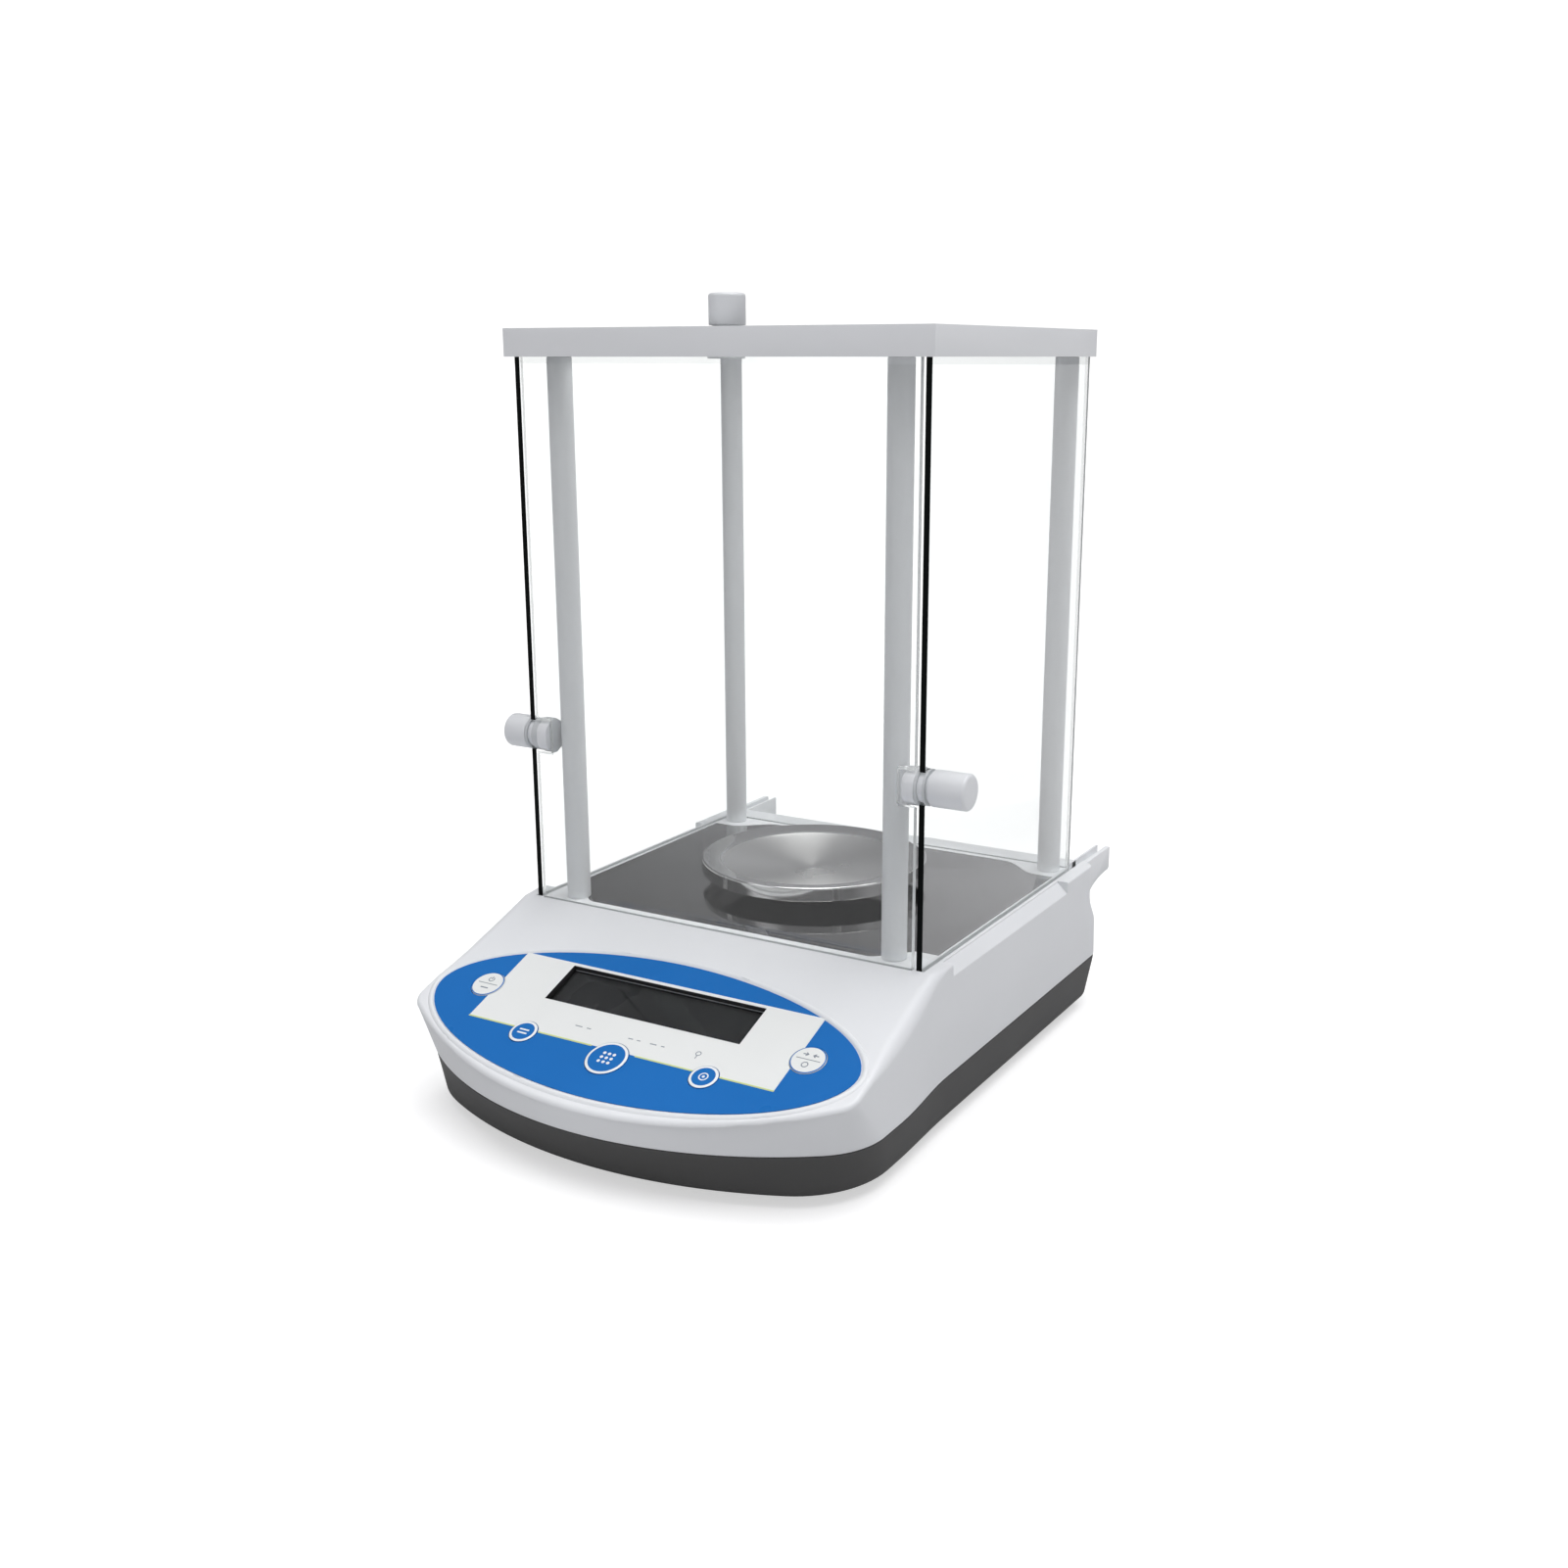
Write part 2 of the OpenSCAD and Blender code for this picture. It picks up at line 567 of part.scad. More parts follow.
// Knob with its collar and clamp stud, axis along +Z, outer glass face at z = 0
module knob_shape(collar_top, length, inner = washer_t) {
    cylinder_between(3, -glass_t - inner - nut_l + 1.5, collar_top);
    cylinder_between(spacer_r, -glass_t, 0);
    cylinder_between(knob_d / 2 - 1.5, washer_t, collar_top);
    cylinder_between(knob_d / 2, collar_top, length - 0.8);
    translate([0, 0, length - 0.8]) cylinder(r1 = knob_d / 2, r2 = knob_d / 2 - 0.8, h = 0.8);
}
module nut_shape() difference() {
    intersection() {
        cylinder_between(nut_d / 2, -nut_l, 0);
        translate([0, 0, -nut_l - 1]) cylinder(d = nut_d * 1.1, h = nut_l + 2, $fn = 6);
    }
    cylinder_between(3 + fit, -nut_l + 1.2, 1);
}
module washer(z, h) translate([0, 0, z]) difference() {
    cylinder(r = knob_d / 2, h = h);
    translate([0, 0, -1]) cylinder(r = 3 + fit, h = h + 2);
}
module washers_shape(inner = washer_t) {
    washer(0, washer_t);
    washer(-glass_t - inner, inner);
}
module at_side_knob() place() translate([door_x + glass_t / 2, knob_y, deck_z + knob_z])
    rotate([0, 90, 0]) children();
module at_top_knob() place() translate([0, top_knob_y, frame_z + top_glass_gap + glass_t]) children();

module right_door_glass() color(clear) door_glass();
module right_door_knob() color(white) at_side_knob() knob_shape(side_collar, knob_l);
module right_door_nut() color(white) at_side_knob() translate([0, 0, -glass_t - washer_t]) nut_shape();
module right_door_washers() color(pale) at_side_knob() washers_shape();
module left_door_glass() scale_x(-1) right_door_glass();
module left_door_knob() color(white) scale_x(-1) at_side_knob()
    knob_shape(left_collar, left_knob_l, left_spacer);
module left_door_nut() color(white) scale_x(-1) at_side_knob()
    translate([0, 0, -glass_t - left_spacer]) nut_shape();
module left_door_washers() color(pale) scale_x(-1) at_side_knob() washers_shape(left_spacer);

module top_door_glass() color(clear) place() difference() {
    box([-window_w / 2 - 2.3, window_front - 2.5, frame_z + top_glass_gap],
        [window_w / 2 + 2.3, frame_d / 2, frame_z + top_glass_gap + glass_t]);
    translate([0, top_knob_y, frame_z]) cylinder(r = knob_hole_r, h = 20);
}
module top_door_knob() color(white) at_top_knob() knob_shape(top_collar, top_knob_l);
module top_door_nut() color(white) at_top_knob() translate([0, 0, -glass_t - washer_t]) nut_shape();
module top_door_washers() color(pale) at_top_knob() washers_shape();

// ---------- Feet ----------
wheel_r = 11;
pad_r = 9;
pad_h = 3;
module foot_screw(at) color(dark) place() translate([at[0], at[1], 0]) {
    difference() {
        cylinder_between(wheel_r, pad_h - 1, pad_h + 4);
        for (i = [0:15]) rotate([0, 0, i * 22.5])
            translate([wheel_r + 0.4, 0, 0]) cylinder(r = 1, h = 10, $fn = 24);
        translate([0, 0, pad_h - 1 - eps]) cylinder(r = pad_r + fit, h = 1 + eps);
    }
    cylinder_between(foot_stud_r - fit, pad_h + 3.9, base_z + foot_pocket_h + foot_boss_h - 1);
}
module foot_pad(at) color(black) place() translate([at[0], at[1], 0]) {
    cylinder_between(pad_r, 0.6, pad_h);
    cylinder(r1 = pad_r - 0.8, r2 = pad_r, h = 0.6 + eps);
}
function left(at) = [-at[0], at[1]];
module front_left_foot() foot_screw(left(front_foot));
module front_right_foot() foot_screw(front_foot);
module rear_left_foot() foot_screw(left(rear_foot));
module rear_right_foot() foot_screw(rear_foot);
module front_left_foot_pad() foot_pad(left(front_foot));
module front_right_foot_pad() foot_pad(front_foot);
module rear_left_foot_pad() foot_pad(left(rear_foot));
module rear_right_foot_pad() foot_pad(rear_foot);

// ---------- Rear sockets ----------
socket_z = seam_z + 9;
power_x = 45;
port_x = -50;
power_half = 5;           // half width of the power socket's body
port_half = [16, 6.2];    // half width and half height of the data port's body
pin_pitch = 2.8;
module at_socket(x) place() translate([x, rear_seam_y - 0.8, socket_z]) children();
module bore_y(r, from, to) translate([0, to, 0]) rotate([90, 0, 0]) cylinder(r = r, h = to - from);

module power_socket_body(play, rear = 3) at_socket(power_x)
    box([-power_half - play, -14, -power_half - play], [power_half + play, rear, power_half + play]);
module power_socket() color(black) difference() {
    power_socket_body(0, -0.5);
    at_socket(power_x) difference() {
        bore_y(2.8, -9, 1);
        bore_y(1, -12, 0);
    }
}
module data_port_body(play, rear = 3) at_socket(port_x)
    box([-port_half[0] - play, -10, -port_half[1] - play],
        [port_half[0] + play, rear, port_half[1] + play]);
module data_port() color(bright) difference() {
    union() {
        data_port_body(0, -1.2);
        at_socket(port_x) translate([0, 1.2, 0]) rotate([90, 0, 0]) linear_extrude(4)
            polygon([[-9, 4], [9, 4], [8, -4], [-8, -4]]);
    }
    at_socket(port_x) for (row = [0, 1], i = [0:4 - row])
        translate([(i - 2 + row / 2) * pin_pitch, 0, pin_pitch * (0.5 - row)]) bore_y(0.6, -2, 2, $fn = 16);
}

bottom_shell();
top_housing();
keypad_overlay();
display_bezel();
display_window();
lcd_module();
display_board();
board_screws();
main_board();
ribbon_cable();
load_cell();
load_cell_block();
load_cell_screws();
load_arm();
pan_stem();
weighing_pan();
deck_plate();
front_left_post();
front_right_post();
rear_left_post();
rear_right_post();
post_screws();
top_frame();
frame_screws();
front_glass();
rear_glass();
left_door_glass();
left_door_knob();
left_door_nut();
left_door_washers();
right_door_glass();
right_door_knob();
right_door_nut();
right_door_washers();
top_door_glass();
top_door_knob();
top_door_nut();
top_door_washers();
power_key();
unit_key();
count_key();
calibrate_key();
tare_key();
front_left_foot();
front_right_foot();
rear_left_foot();
rear_right_foot();
front_left_foot_pad();
front_right_foot_pad();
rear_left_foot_pad();
rear_right_foot_pad();
housing_screws();
power_socket();
data_port();
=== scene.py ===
"""Looks of the analytical balance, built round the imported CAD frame."""
import json
import math

import bmesh
import bpy
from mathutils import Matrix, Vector
from mathutils.geometry import delaunay_2d_cdt


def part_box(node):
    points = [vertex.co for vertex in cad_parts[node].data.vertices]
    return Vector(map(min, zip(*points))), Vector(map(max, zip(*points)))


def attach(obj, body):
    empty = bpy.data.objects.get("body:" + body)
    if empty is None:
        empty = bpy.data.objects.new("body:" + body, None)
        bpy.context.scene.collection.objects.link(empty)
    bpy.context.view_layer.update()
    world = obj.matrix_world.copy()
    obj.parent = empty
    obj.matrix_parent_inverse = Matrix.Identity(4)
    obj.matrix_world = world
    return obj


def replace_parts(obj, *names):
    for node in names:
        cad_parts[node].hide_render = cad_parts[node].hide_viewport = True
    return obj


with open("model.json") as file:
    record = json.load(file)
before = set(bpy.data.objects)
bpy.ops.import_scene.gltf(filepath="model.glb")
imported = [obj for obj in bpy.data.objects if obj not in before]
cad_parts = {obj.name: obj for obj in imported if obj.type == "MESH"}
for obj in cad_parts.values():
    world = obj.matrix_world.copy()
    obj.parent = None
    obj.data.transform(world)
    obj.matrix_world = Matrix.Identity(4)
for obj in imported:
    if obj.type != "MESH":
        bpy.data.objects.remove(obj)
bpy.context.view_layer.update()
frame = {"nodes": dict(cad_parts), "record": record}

MM = 0.001
record = frame["record"]
BODY_OF = {node: body for body, nodes in record["behaviour"]["bodies"].items() for node in nodes}
SLOT_OF = {part["node"]: part["material_slot"] for part in record["subparts"]}

# Two datums in metres, from the frame. Lengths below are millimetres from the chamber's middle and the deck.
CHAMBER_Y = (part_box("top_frame")[0].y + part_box("top_frame")[1].y) / 2
DECK_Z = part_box("front_right_post")[0].z
SEAM = (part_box("top_housing")[0].z - DECK_Z) / MM
BASE = (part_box("bottom_shell")[0].z - DECK_Z) / MM
FRAME_Z = (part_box("top_frame")[0].z - DECK_Z) / MM

NOSE = 173.0
# Outlines in plan: tip of the nose, nose radius, corner radius, half widths at front and rear, rear edge
RIM = (-NOSE, 182.0, 9.0, 101.5, 99.5, 103.0)
SEAM_PLAN = (-NOSE, 150.0, 30.0, 101.7, 98.6, 103.0)
FOOT_PLAN = (-NOSE + 8, 185.0, 40.0, 99.9, 98.9, 91.0)
RIM_DEPTH = 27.0
REAR_TOP, REAR_R = 92.0, 8.0
PAN_Y, PAN_TOP = 4.2, 12.3
CREASE = -76.1
TILT = math.radians(20.7)
COS, SIN, TAN = math.cos(TILT), math.sin(TILT), math.tan(TILT)
OVAL_W, OVAL_U, OVAL_UP, OVAL_DOWN = 96.4, 58.3, 36.5, 39.4
BEAD_IN, BEAD_W, BEAD_H = 0.25, 2.6, 0.65
DISPLAY_U, DISPLAY_W, DISPLAY_H = 45.25, 92.0, 21.7
SHOULDER = (-60.0, 57.0)
GROOVE_X = (89.75, 93.4)
GROOVE_START, GROOVE_DEPTH = -73.6, 3.5
SLOT_DEPTH, PLATE_BED, PANEL_HOLE = 2.6, 1.15, 2.5
DOOR_FACE, GLASS_T, NUT_REACH = 92.4, 2.4, 3.4
KNOB_Y, KNOB_Z, TOP_KNOB_Y = -69.5, 71.2, -60.0
PRINT_LOW, PRINT_HIGH = 0.3, 0.425
KEYS = {"power_key": (-74.6, 55.4, 6.9), "unit_key": (-41.6, 74.9, 5.7), "count_key": (0.0, 77.6, 8.4),
        "calibrate_key": (41.6, 74.9, 5.7), "tare_key": (74.6, 55.4, 6.9)}
FEET = {"front": (76.0, -116.0), "rear": (78.0, 66.0)}
SCREWS = ((74.0, -142.0), (66.0, 86.0))


# ---------------------------------------------------------------- materials
def nodes_of(material):
    return material.node_tree.nodes, material.node_tree.links


def new_material(name, color, rough, metallic=0.0, grain=900.0, bump=0.05, tint=0.04, spread=0.05,
                 wear=0.0, coat=0.0, stretch=(1, 1, 1), scratches=0.0, specular=0.5):
    """A surface with colour drift, gloss drift, fine bump, and rubbed edges or scratches where asked."""
    material = bpy.data.materials.new(name)
    material.use_nodes = True
    nodes, links = nodes_of(material)
    shader = nodes["Principled BSDF"]
    shader.inputs["Metallic"].default_value = metallic
    shader.inputs["Specular IOR Level"].default_value = specular
    shader.inputs["Coat Weight"].default_value = coat
    shader.inputs["Coat Roughness"].default_value = 0.12
    place = nodes.new("ShaderNodeTexCoord")
    scale = nodes.new("ShaderNodeMapping")
    scale.inputs["Scale"].default_value = stretch
    links.new(place.outputs["Object"], scale.inputs["Vector"])
    fine = nodes.new("ShaderNodeTexNoise")
    fine.inputs["Scale"].default_value = grain
    fine.inputs["Detail"].default_value = 4
    broad = nodes.new("ShaderNodeTexNoise")
    broad.inputs["Scale"].default_value = 22
    broad.inputs["Detail"].default_value = 3
    links.new(scale.outputs["Vector"], fine.inputs["Vector"])
    links.new(place.outputs["Object"], broad.inputs["Vector"])

    ramp = nodes.new("ShaderNodeValToRGB")
    ramp.color_ramp.elements[0].position, ramp.color_ramp.elements[1].position = 0.3, 0.7
    ramp.color_ramp.elements[0].color = [c * (1 - tint) for c in color] + [1]
    ramp.color_ramp.elements[1].color = [min(1, c * (1 + tint)) for c in color] + [1]
    links.new(broad.outputs["Fac"], ramp.inputs["Fac"])
    colour_out = ramp.outputs["Color"]
    if wear:
        geometry = nodes.new("ShaderNodeNewGeometry")
        edge = nodes.new("ShaderNodeMapRange")
        edge.inputs["From Min"].default_value, edge.inputs["From Max"].default_value = 0.52, 0.62
        edge.inputs["To Max"].default_value = wear
        links.new(geometry.outputs["Pointiness"], edge.inputs["Value"])
        worn = nodes.new("ShaderNodeMix")
        worn.data_type = "RGBA"
        worn.inputs["B"].default_value = [min(1, c * 1.25 + 0.03) for c in color] + [1]
        links.new(edge.outputs["Result"], worn.inputs["Factor"])
        links.new(colour_out, worn.inputs["A"])
        colour_out = worn.outputs["Result"]
    links.new(colour_out, shader.inputs["Base Color"])

    gloss = nodes.new("ShaderNodeMapRange")
    gloss.inputs["From Min"].default_value, gloss.inputs["From Max"].default_value = 0.3, 0.7
    gloss.inputs["To Min"].default_value = max(0.01, rough - spread)
    gloss.inputs["To Max"].default_value = rough + spread
    links.new(broad.outputs["Fac"], gloss.inputs["Value"])
    links.new(gloss.outputs["Result"], shader.inputs["Roughness"])

    relief = nodes.new("ShaderNodeBump")
    relief.inputs["Strength"].default_value = bump
    relief.inputs["Distance"].default_value = 0.0001
    links.new(fine.outputs["Fac"], relief.inputs["Height"])
    normal_out = relief.outputs["Normal"]
    if scratches:
        hair = nodes.new("ShaderNodeTexNoise")
        hair.inputs["Scale"].default_value = 160
        hair.inputs["Detail"].default_value = 6
        hair.inputs["Distortion"].default_value = 0.3
        lines = nodes.new("ShaderNodeMapping")
        lines.inputs["Scale"].default_value = (1, 14, 1)
        lines.inputs["Rotation"].default_value = (0, 0, 0.6)
        links.new(place.outputs["Object"], lines.inputs["Vector"])
        links.new(lines.outputs["Vector"], hair.inputs["Vector"])
        cut = nodes.new("ShaderNodeBump")
        cut.inputs["Strength"].default_value = scratches
        cut.inputs["Distance"].default_value = 0.00004
        links.new(hair.outputs["Fac"], cut.inputs["Height"])
        links.new(normal_out, cut.inputs["Normal"])
        normal_out = cut.outputs["Normal"]
    links.new(normal_out, shader.inputs["Normal"])
    return material


def glass_material(name, color, rough=0.0, clear_shadow=0.92, ior=1.48):
    """Glass with faint smears. It lets most light through to what stands behind it."""
    material = bpy.data.materials.new(name)
    material.use_nodes = True
    nodes, links = nodes_of(material)
    shader = nodes["Principled BSDF"]
    shader.inputs["Base Color"].default_value = color + [1]
    shader.inputs["Transmission Weight"].default_value = 1
    shader.inputs["IOR"].default_value = ior
    place = nodes.new("ShaderNodeTexCoord")
    smear = nodes.new("ShaderNodeTexNoise")
    smear.inputs["Scale"].default_value = 14
    smear.inputs["Detail"].default_value = 5
    smear.inputs["Distortion"].default_value = 1.2
    links.new(place.outputs["Object"], smear.inputs["Vector"])
    gloss = nodes.new("ShaderNodeMapRange")
    gloss.inputs["From Min"].default_value, gloss.inputs["From Max"].default_value = 0.55, 0.8
    gloss.inputs["To Min"].default_value, gloss.inputs["To Max"].default_value = rough, rough + 0.05
    links.new(smear.outputs["Fac"], gloss.inputs["Value"])
    links.new(gloss.outputs["Result"], shader.inputs["Roughness"])
    light = nodes.new("ShaderNodeLightPath")
    through = nodes.new("ShaderNodeBsdfTransparent")
    through.inputs["Color"].default_value = (clear_shadow, clear_shadow, clear_shadow, 1)
    mix = nodes.new("ShaderNodeMixShader")
    links.new(light.outputs["Is Shadow Ray"], mix.inputs["Fac"])
    links.new(shader.outputs["BSDF"], mix.inputs[1])
    links.new(through.outputs["BSDF"], mix.inputs[2])
    links.new(mix.outputs["Shader"], nodes["Material Output"].inputs["Surface"])
    return material


def lathe_marks(material, strength=0.06, rings=5200.0):
    """Adds fine concentric turning marks round the pan's axis."""
    nodes, links = nodes_of(material)
    place = nodes.new("ShaderNodeTexCoord")
    shift = nodes.new("ShaderNodeMapping")
    shift.inputs["Location"].default_value = (0, -CHAMBER_Y - PAN_Y * MM, 0)
    flat = nodes.new("ShaderNodeMapping")
    flat.inputs["Scale"].default_value = (1, 1, 0)
    length = nodes.new("ShaderNodeVectorMath")
    length.operation = "LENGTH"
    along = nodes.new("ShaderNodeCombineXYZ")
    noise = nodes.new("ShaderNodeTexNoise")
    noise.inputs["Scale"].default_value = rings
    noise.inputs["Detail"].default_value = 3
    bump = nodes.new("ShaderNodeBump")
    bump.inputs["Strength"].default_value = strength
    bump.inputs["Distance"].default_value = 0.00003
    links.new(place.outputs["Object"], shift.inputs["Vector"])
    links.new(shift.outputs["Vector"], flat.inputs["Vector"])
    links.new(flat.outputs["Vector"], length.inputs[0])
    links.new(length.outputs["Value"], along.inputs["X"])
    links.new(along.outputs["Vector"], noise.inputs["Vector"])
    links.new(noise.outputs["Fac"], bump.inputs["Height"])
    shader = nodes["Principled BSDF"]
    old = shader.inputs["Normal"].links[0].from_socket
    links.new(old, bump.inputs["Normal"])
    links.new(bump.outputs["Normal"], shader.inputs["Normal"])
    return material


WHITE = [0.80, 0.815, 0.83]
MATERIALS = {
    "white_plastic": new_material("white_plastic", WHITE, 0.42, grain=2600, bump=0.10, tint=0.012,
                                  wear=0.25),
    "dark_plastic": new_material("dark_plastic", [0.060, 0.060, 0.059], 0.55, grain=2400,
                                 bump=0.22, tint=0.06, wear=0.3),
    "black_plastic": new_material("black_plastic", [0.018, 0.018, 0.019], 0.45, grain=2200,
                                  bump=0.15, tint=0.1, wear=0.3),
    "white_paint": new_material("white_paint", [0.80, 0.815, 0.83], 0.36, grain=1500, bump=0.12,
                                tint=0.012, wear=0.2, coat=0.1),
    # The posts have the frame's white paint; this lighter copy is painted light against the shade inside the
    # glass chamber.
    "post_paint_with_painted_light": new_material("post_paint_with_painted_light", [0.93, 0.945, 0.96], 0.36, grain=1500, bump=0.12,
                               tint=0.012, wear=0.2, coat=0.1),
    "knob_plastic": new_material("knob_plastic", [0.79, 0.805, 0.82], 0.30, grain=1800, bump=0.06,
                                 tint=0.015, wear=0.25),
    "washer_plastic": new_material("washer_plastic", [0.60, 0.62, 0.63], 0.35, grain=1500,
                                   bump=0.05, tint=0.03),
    "blue_film": new_material("blue_film", [0.010, 0.150, 0.480], 0.30, grain=3200, bump=0.10,
                              tint=0.03, spread=0.04, specular=0.15),
    "white_film": new_material("white_film", [0.82, 0.835, 0.82], 0.32, grain=3200, bump=0.10,
                               tint=0.012, spread=0.04),
    "print_white": new_material("print_white", [0.86, 0.88, 0.88], 0.35, grain=3000, bump=0.05, tint=0.01),
    "print_grey": new_material("print_grey", [0.22, 0.25, 0.29], 0.35, grain=3000, bump=0.05, tint=0.05),
    "print_lime": new_material("print_lime", [0.62, 0.70, 0.25], 0.35, grain=3000, bump=0.05, tint=0.05),
    "lcd": new_material("lcd", [0.055, 0.056, 0.055], 0.28, grain=3000, bump=0.02, tint=0.10,
                        spread=0.03, specular=0.25),
    "circuit_board": new_material("circuit_board", [0.02, 0.15, 0.06], 0.35, grain=700, bump=0.3,
                                  tint=0.35),
    "ribbon": new_material("ribbon", [0.45, 0.46, 0.48], 0.4, grain=900, bump=0.8, tint=0.08,
                           stretch=(1, 0.02, 0.02)),
    "aluminium": new_material("aluminium", [0.70, 0.71, 0.72], 0.32, metallic=1, grain=900,
                              bump=0.15, tint=0.05, stretch=(1, 0.05, 1), wear=0.3, scratches=0.2),
    "bright_steel": new_material("bright_steel", [0.62, 0.615, 0.61], 0.08, metallic=1, grain=1600,
                                 bump=0.004, tint=0.03, spread=0.02, scratches=0.02),
    "satin_steel": new_material("satin_steel", [0.70, 0.695, 0.685], 0.30, metallic=1, grain=1600,
                                bump=0.04, tint=0.03, spread=0.04, scratches=0.15),
    "mirror_steel": new_material("mirror_steel", [0.34, 0.335, 0.33], 0.045, metallic=1,
                                 grain=1200, bump=0.002, tint=0.05, spread=0.025, scratches=0.015),
    "screw_steel": new_material("screw_steel", [0.42, 0.42, 0.41], 0.30, metallic=1, grain=1500,
                                bump=0.1, tint=0.08, wear=0.3),
    "rubber": new_material("rubber", [0.015, 0.015, 0.015], 0.75, grain=1800, bump=0.35, tint=0.15),
    "glass": glass_material("glass", [0.985, 0.995, 0.99]),
    # Near-black with little gloss: a painted dark reflection on the doors' clear glass front edges.
    "painted_dark_glass_edge": new_material("painted_dark_glass_edge", [0.002, 0.003, 0.003], 0.45, grain=1600, bump=0.3,
                               tint=0.2, specular=0.06),
    "ground_edge": new_material("ground_edge", [0.80, 0.83, 0.82], 0.5, grain=1600, bump=0.3,
                                tint=0.03, specular=0.2),
    "display_lens": glass_material("display_lens", [0.55, 0.56, 0.57], 0.02, 0.5, 1.25),
}
MATERIALS["ground_edge"].node_tree.nodes["Principled BSDF"].inputs["Alpha"].default_value = 0.4
lathe_marks(MATERIALS["satin_steel"], 0.04)
turned = MATERIALS["satin_steel"].node_tree
turned.nodes["Principled BSDF"].inputs["Anisotropic"].default_value = 0.85
turned.nodes["Principled BSDF"].inputs["Anisotropic Rotation"].default_value = 0.25
round_axis = turned.nodes.new("ShaderNodeTangent")
round_axis.direction_type, round_axis.axis = "RADIAL", "Z"
turned.links.new(round_axis.outputs["Tangent"], turned.nodes["Principled BSDF"].inputs["Tangent"])


# ---------------------------------------------------------------- building
def at(x, y, z):
    """A point given in millimetres from the chamber's middle and the deck, in the row frame."""
    return Vector((x * MM, y * MM + CHAMBER_Y, z * MM + DECK_Z))


def on_panel(x, u, h):
    """A point on the control panel: x across, u downhill from the crease, h out of the surface."""
    return at(x, CREASE - u * COS - h * SIN, -u * SIN + h * COS)


def finish_mesh(bm, name, body, slots, angle=32.0, weld=0.004):
    """Turns bm into an object riding on body. Edges sharper than angle stay sharp."""
    bmesh.ops.remove_doubles(bm, verts=bm.verts, dist=weld * MM)
    for face in bm.faces:
        face.smooth = True
    for edge in bm.edges:
        edge.smooth = edge.calc_face_angle(0.0) < math.radians(angle)
    mesh = bpy.data.meshes.new(name)
    bm.to_mesh(mesh)
    bm.free()
    for slot in slots:
        mesh.materials.append(MATERIALS[slot])
    obj = bpy.data.objects.new(name, mesh)
    bpy.context.scene.collection.objects.link(obj)
    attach(obj, body)
    return obj


def loft(bm, rings, closed=True, flip=False, material=0):
    """Joins rings of points, given counter-clockwise from above and going outward and down."""
    rows = [[bm.verts.new(p) for p in ring] for ring in rings]
    count = len(rows[0])
    for a, b in zip(rows, rows[1:]):
        for i in range(count if closed else count - 1):
            j = (i + 1) % count
            quad = [a[i], b[i], b[j], a[j]]
            if flip:
                quad.reverse()
            try:
                bm.faces.new(quad).material_index = material
            except ValueError:
                pass
    return rows


def lathe(bm, profile, frame_at, steps=96, materials=None):
    """Turns a profile of (radius, height) round local Z. frame_at takes local mm to the row frame."""
    turns = [2 * math.pi * i / steps for i in range(steps)]
    rings = [[frame_at(r * math.cos(a), r * math.sin(a), z) for a in turns] for r, z in profile]
    rows = []
    for ring, (r, z) in zip(rings, profile):
        rows.append([bm.verts.new(frame_at(0, 0, z))] * steps if r == 0 else [bm.verts.new(p) for p in ring])
    for k, (a, b) in enumerate(zip(rows, rows[1:])):
        for i in range(steps):
            j = (i + 1) % steps
            corners = []
            for v in (a[i], b[i], b[j], a[j]):
                if v not in corners:
                    corners.append(v)
            if len(corners) > 2:
                bm.faces.new(corners).material_index = materials[k] if materials else 0


def inside(point, loop):
    x, y = point
    hit = False
    for (x0, y0), (x1, y1) in zip(loop, loop[1:] + loop[:1]):
        if (y0 > y) != (y1 > y) and x < (x1 - x0) * (y - y0) / (y1 - y0) + x0:
            hit = not hit
    return hit


def fill(bm, outer, holes, inner, to_point, material=0, down=False):
    """Fills outer less its holes, with inner loops as extra edges. to_point gives a plan point its place."""
    points, edges = [], []
    for loop in [outer] + holes + inner:
        start = len(points)
        points += [Vector(p) for p in loop]
        edges += [(start + i, start + (i + 1) % len(loop)) for i in range(len(loop))]
    made, _, faces, _, _, _ = delaunay_2d_cdt(points, edges, [], 0, 1e-4)
    vertices = {}
    for face in faces:
        centre = sum((made[i] for i in face), Vector((0, 0))) / len(face)
        if not inside(centre, outer) or any(inside(centre, hole) for hole in holes):
            continue
        for i in face:
            if i not in vertices:
                vertices[i] = bm.verts.new(to_point(made[i].x, made[i].y))
        corners = [vertices[i] for i in face]
        if down:
            corners.reverse()
        bm.faces.new(corners).material_index = material


def refined(node, width=0.3, segments=2, angle=30.0, slots=None, paint=None, smooth=32.0):
    """A copy of a CAD node with softened edges, which stands for it. paint chooses a face's material."""
    source = frame["nodes"][node]
    bm = bmesh.new()
    bm.from_mesh(source.data)
    bmesh.ops.remove_doubles(bm, verts=bm.verts, dist=0.002 * MM)
    bmesh.ops.dissolve_limit(bm, angle_limit=math.radians(0.6), verts=bm.verts, edges=bm.edges)
    if width:
        sharp = [e for e in bm.edges
                 if len(e.link_faces) == 2 and e.calc_face_angle(0.0) > math.radians(angle)]
        bmesh.ops.bevel(bm, geom=sharp, offset=width * MM, segments=segments, profile=0.5, affect="EDGES",
                        clamp_overlap=True)
    for face in bm.faces:
        face.material_index = paint(face) if paint else 0
    obj = finish_mesh(bm, node + "_finished", BODY_OF[node], slots or [SLOT_OF[node]],
                      angle=smooth, weld=0.001)
    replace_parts(obj, node)
    return obj


def arc(centre, r, start, end, steps):
    """Points of an arc with their normals towards its centre."""
    out = []
    for i in range(steps + 1):
        a = math.radians(start + (end - start) * i / steps)
        out.append((centre[0] + r * math.cos(a), centre[1] + r * math.sin(a), -math.cos(a), -math.sin(a)))
    return out


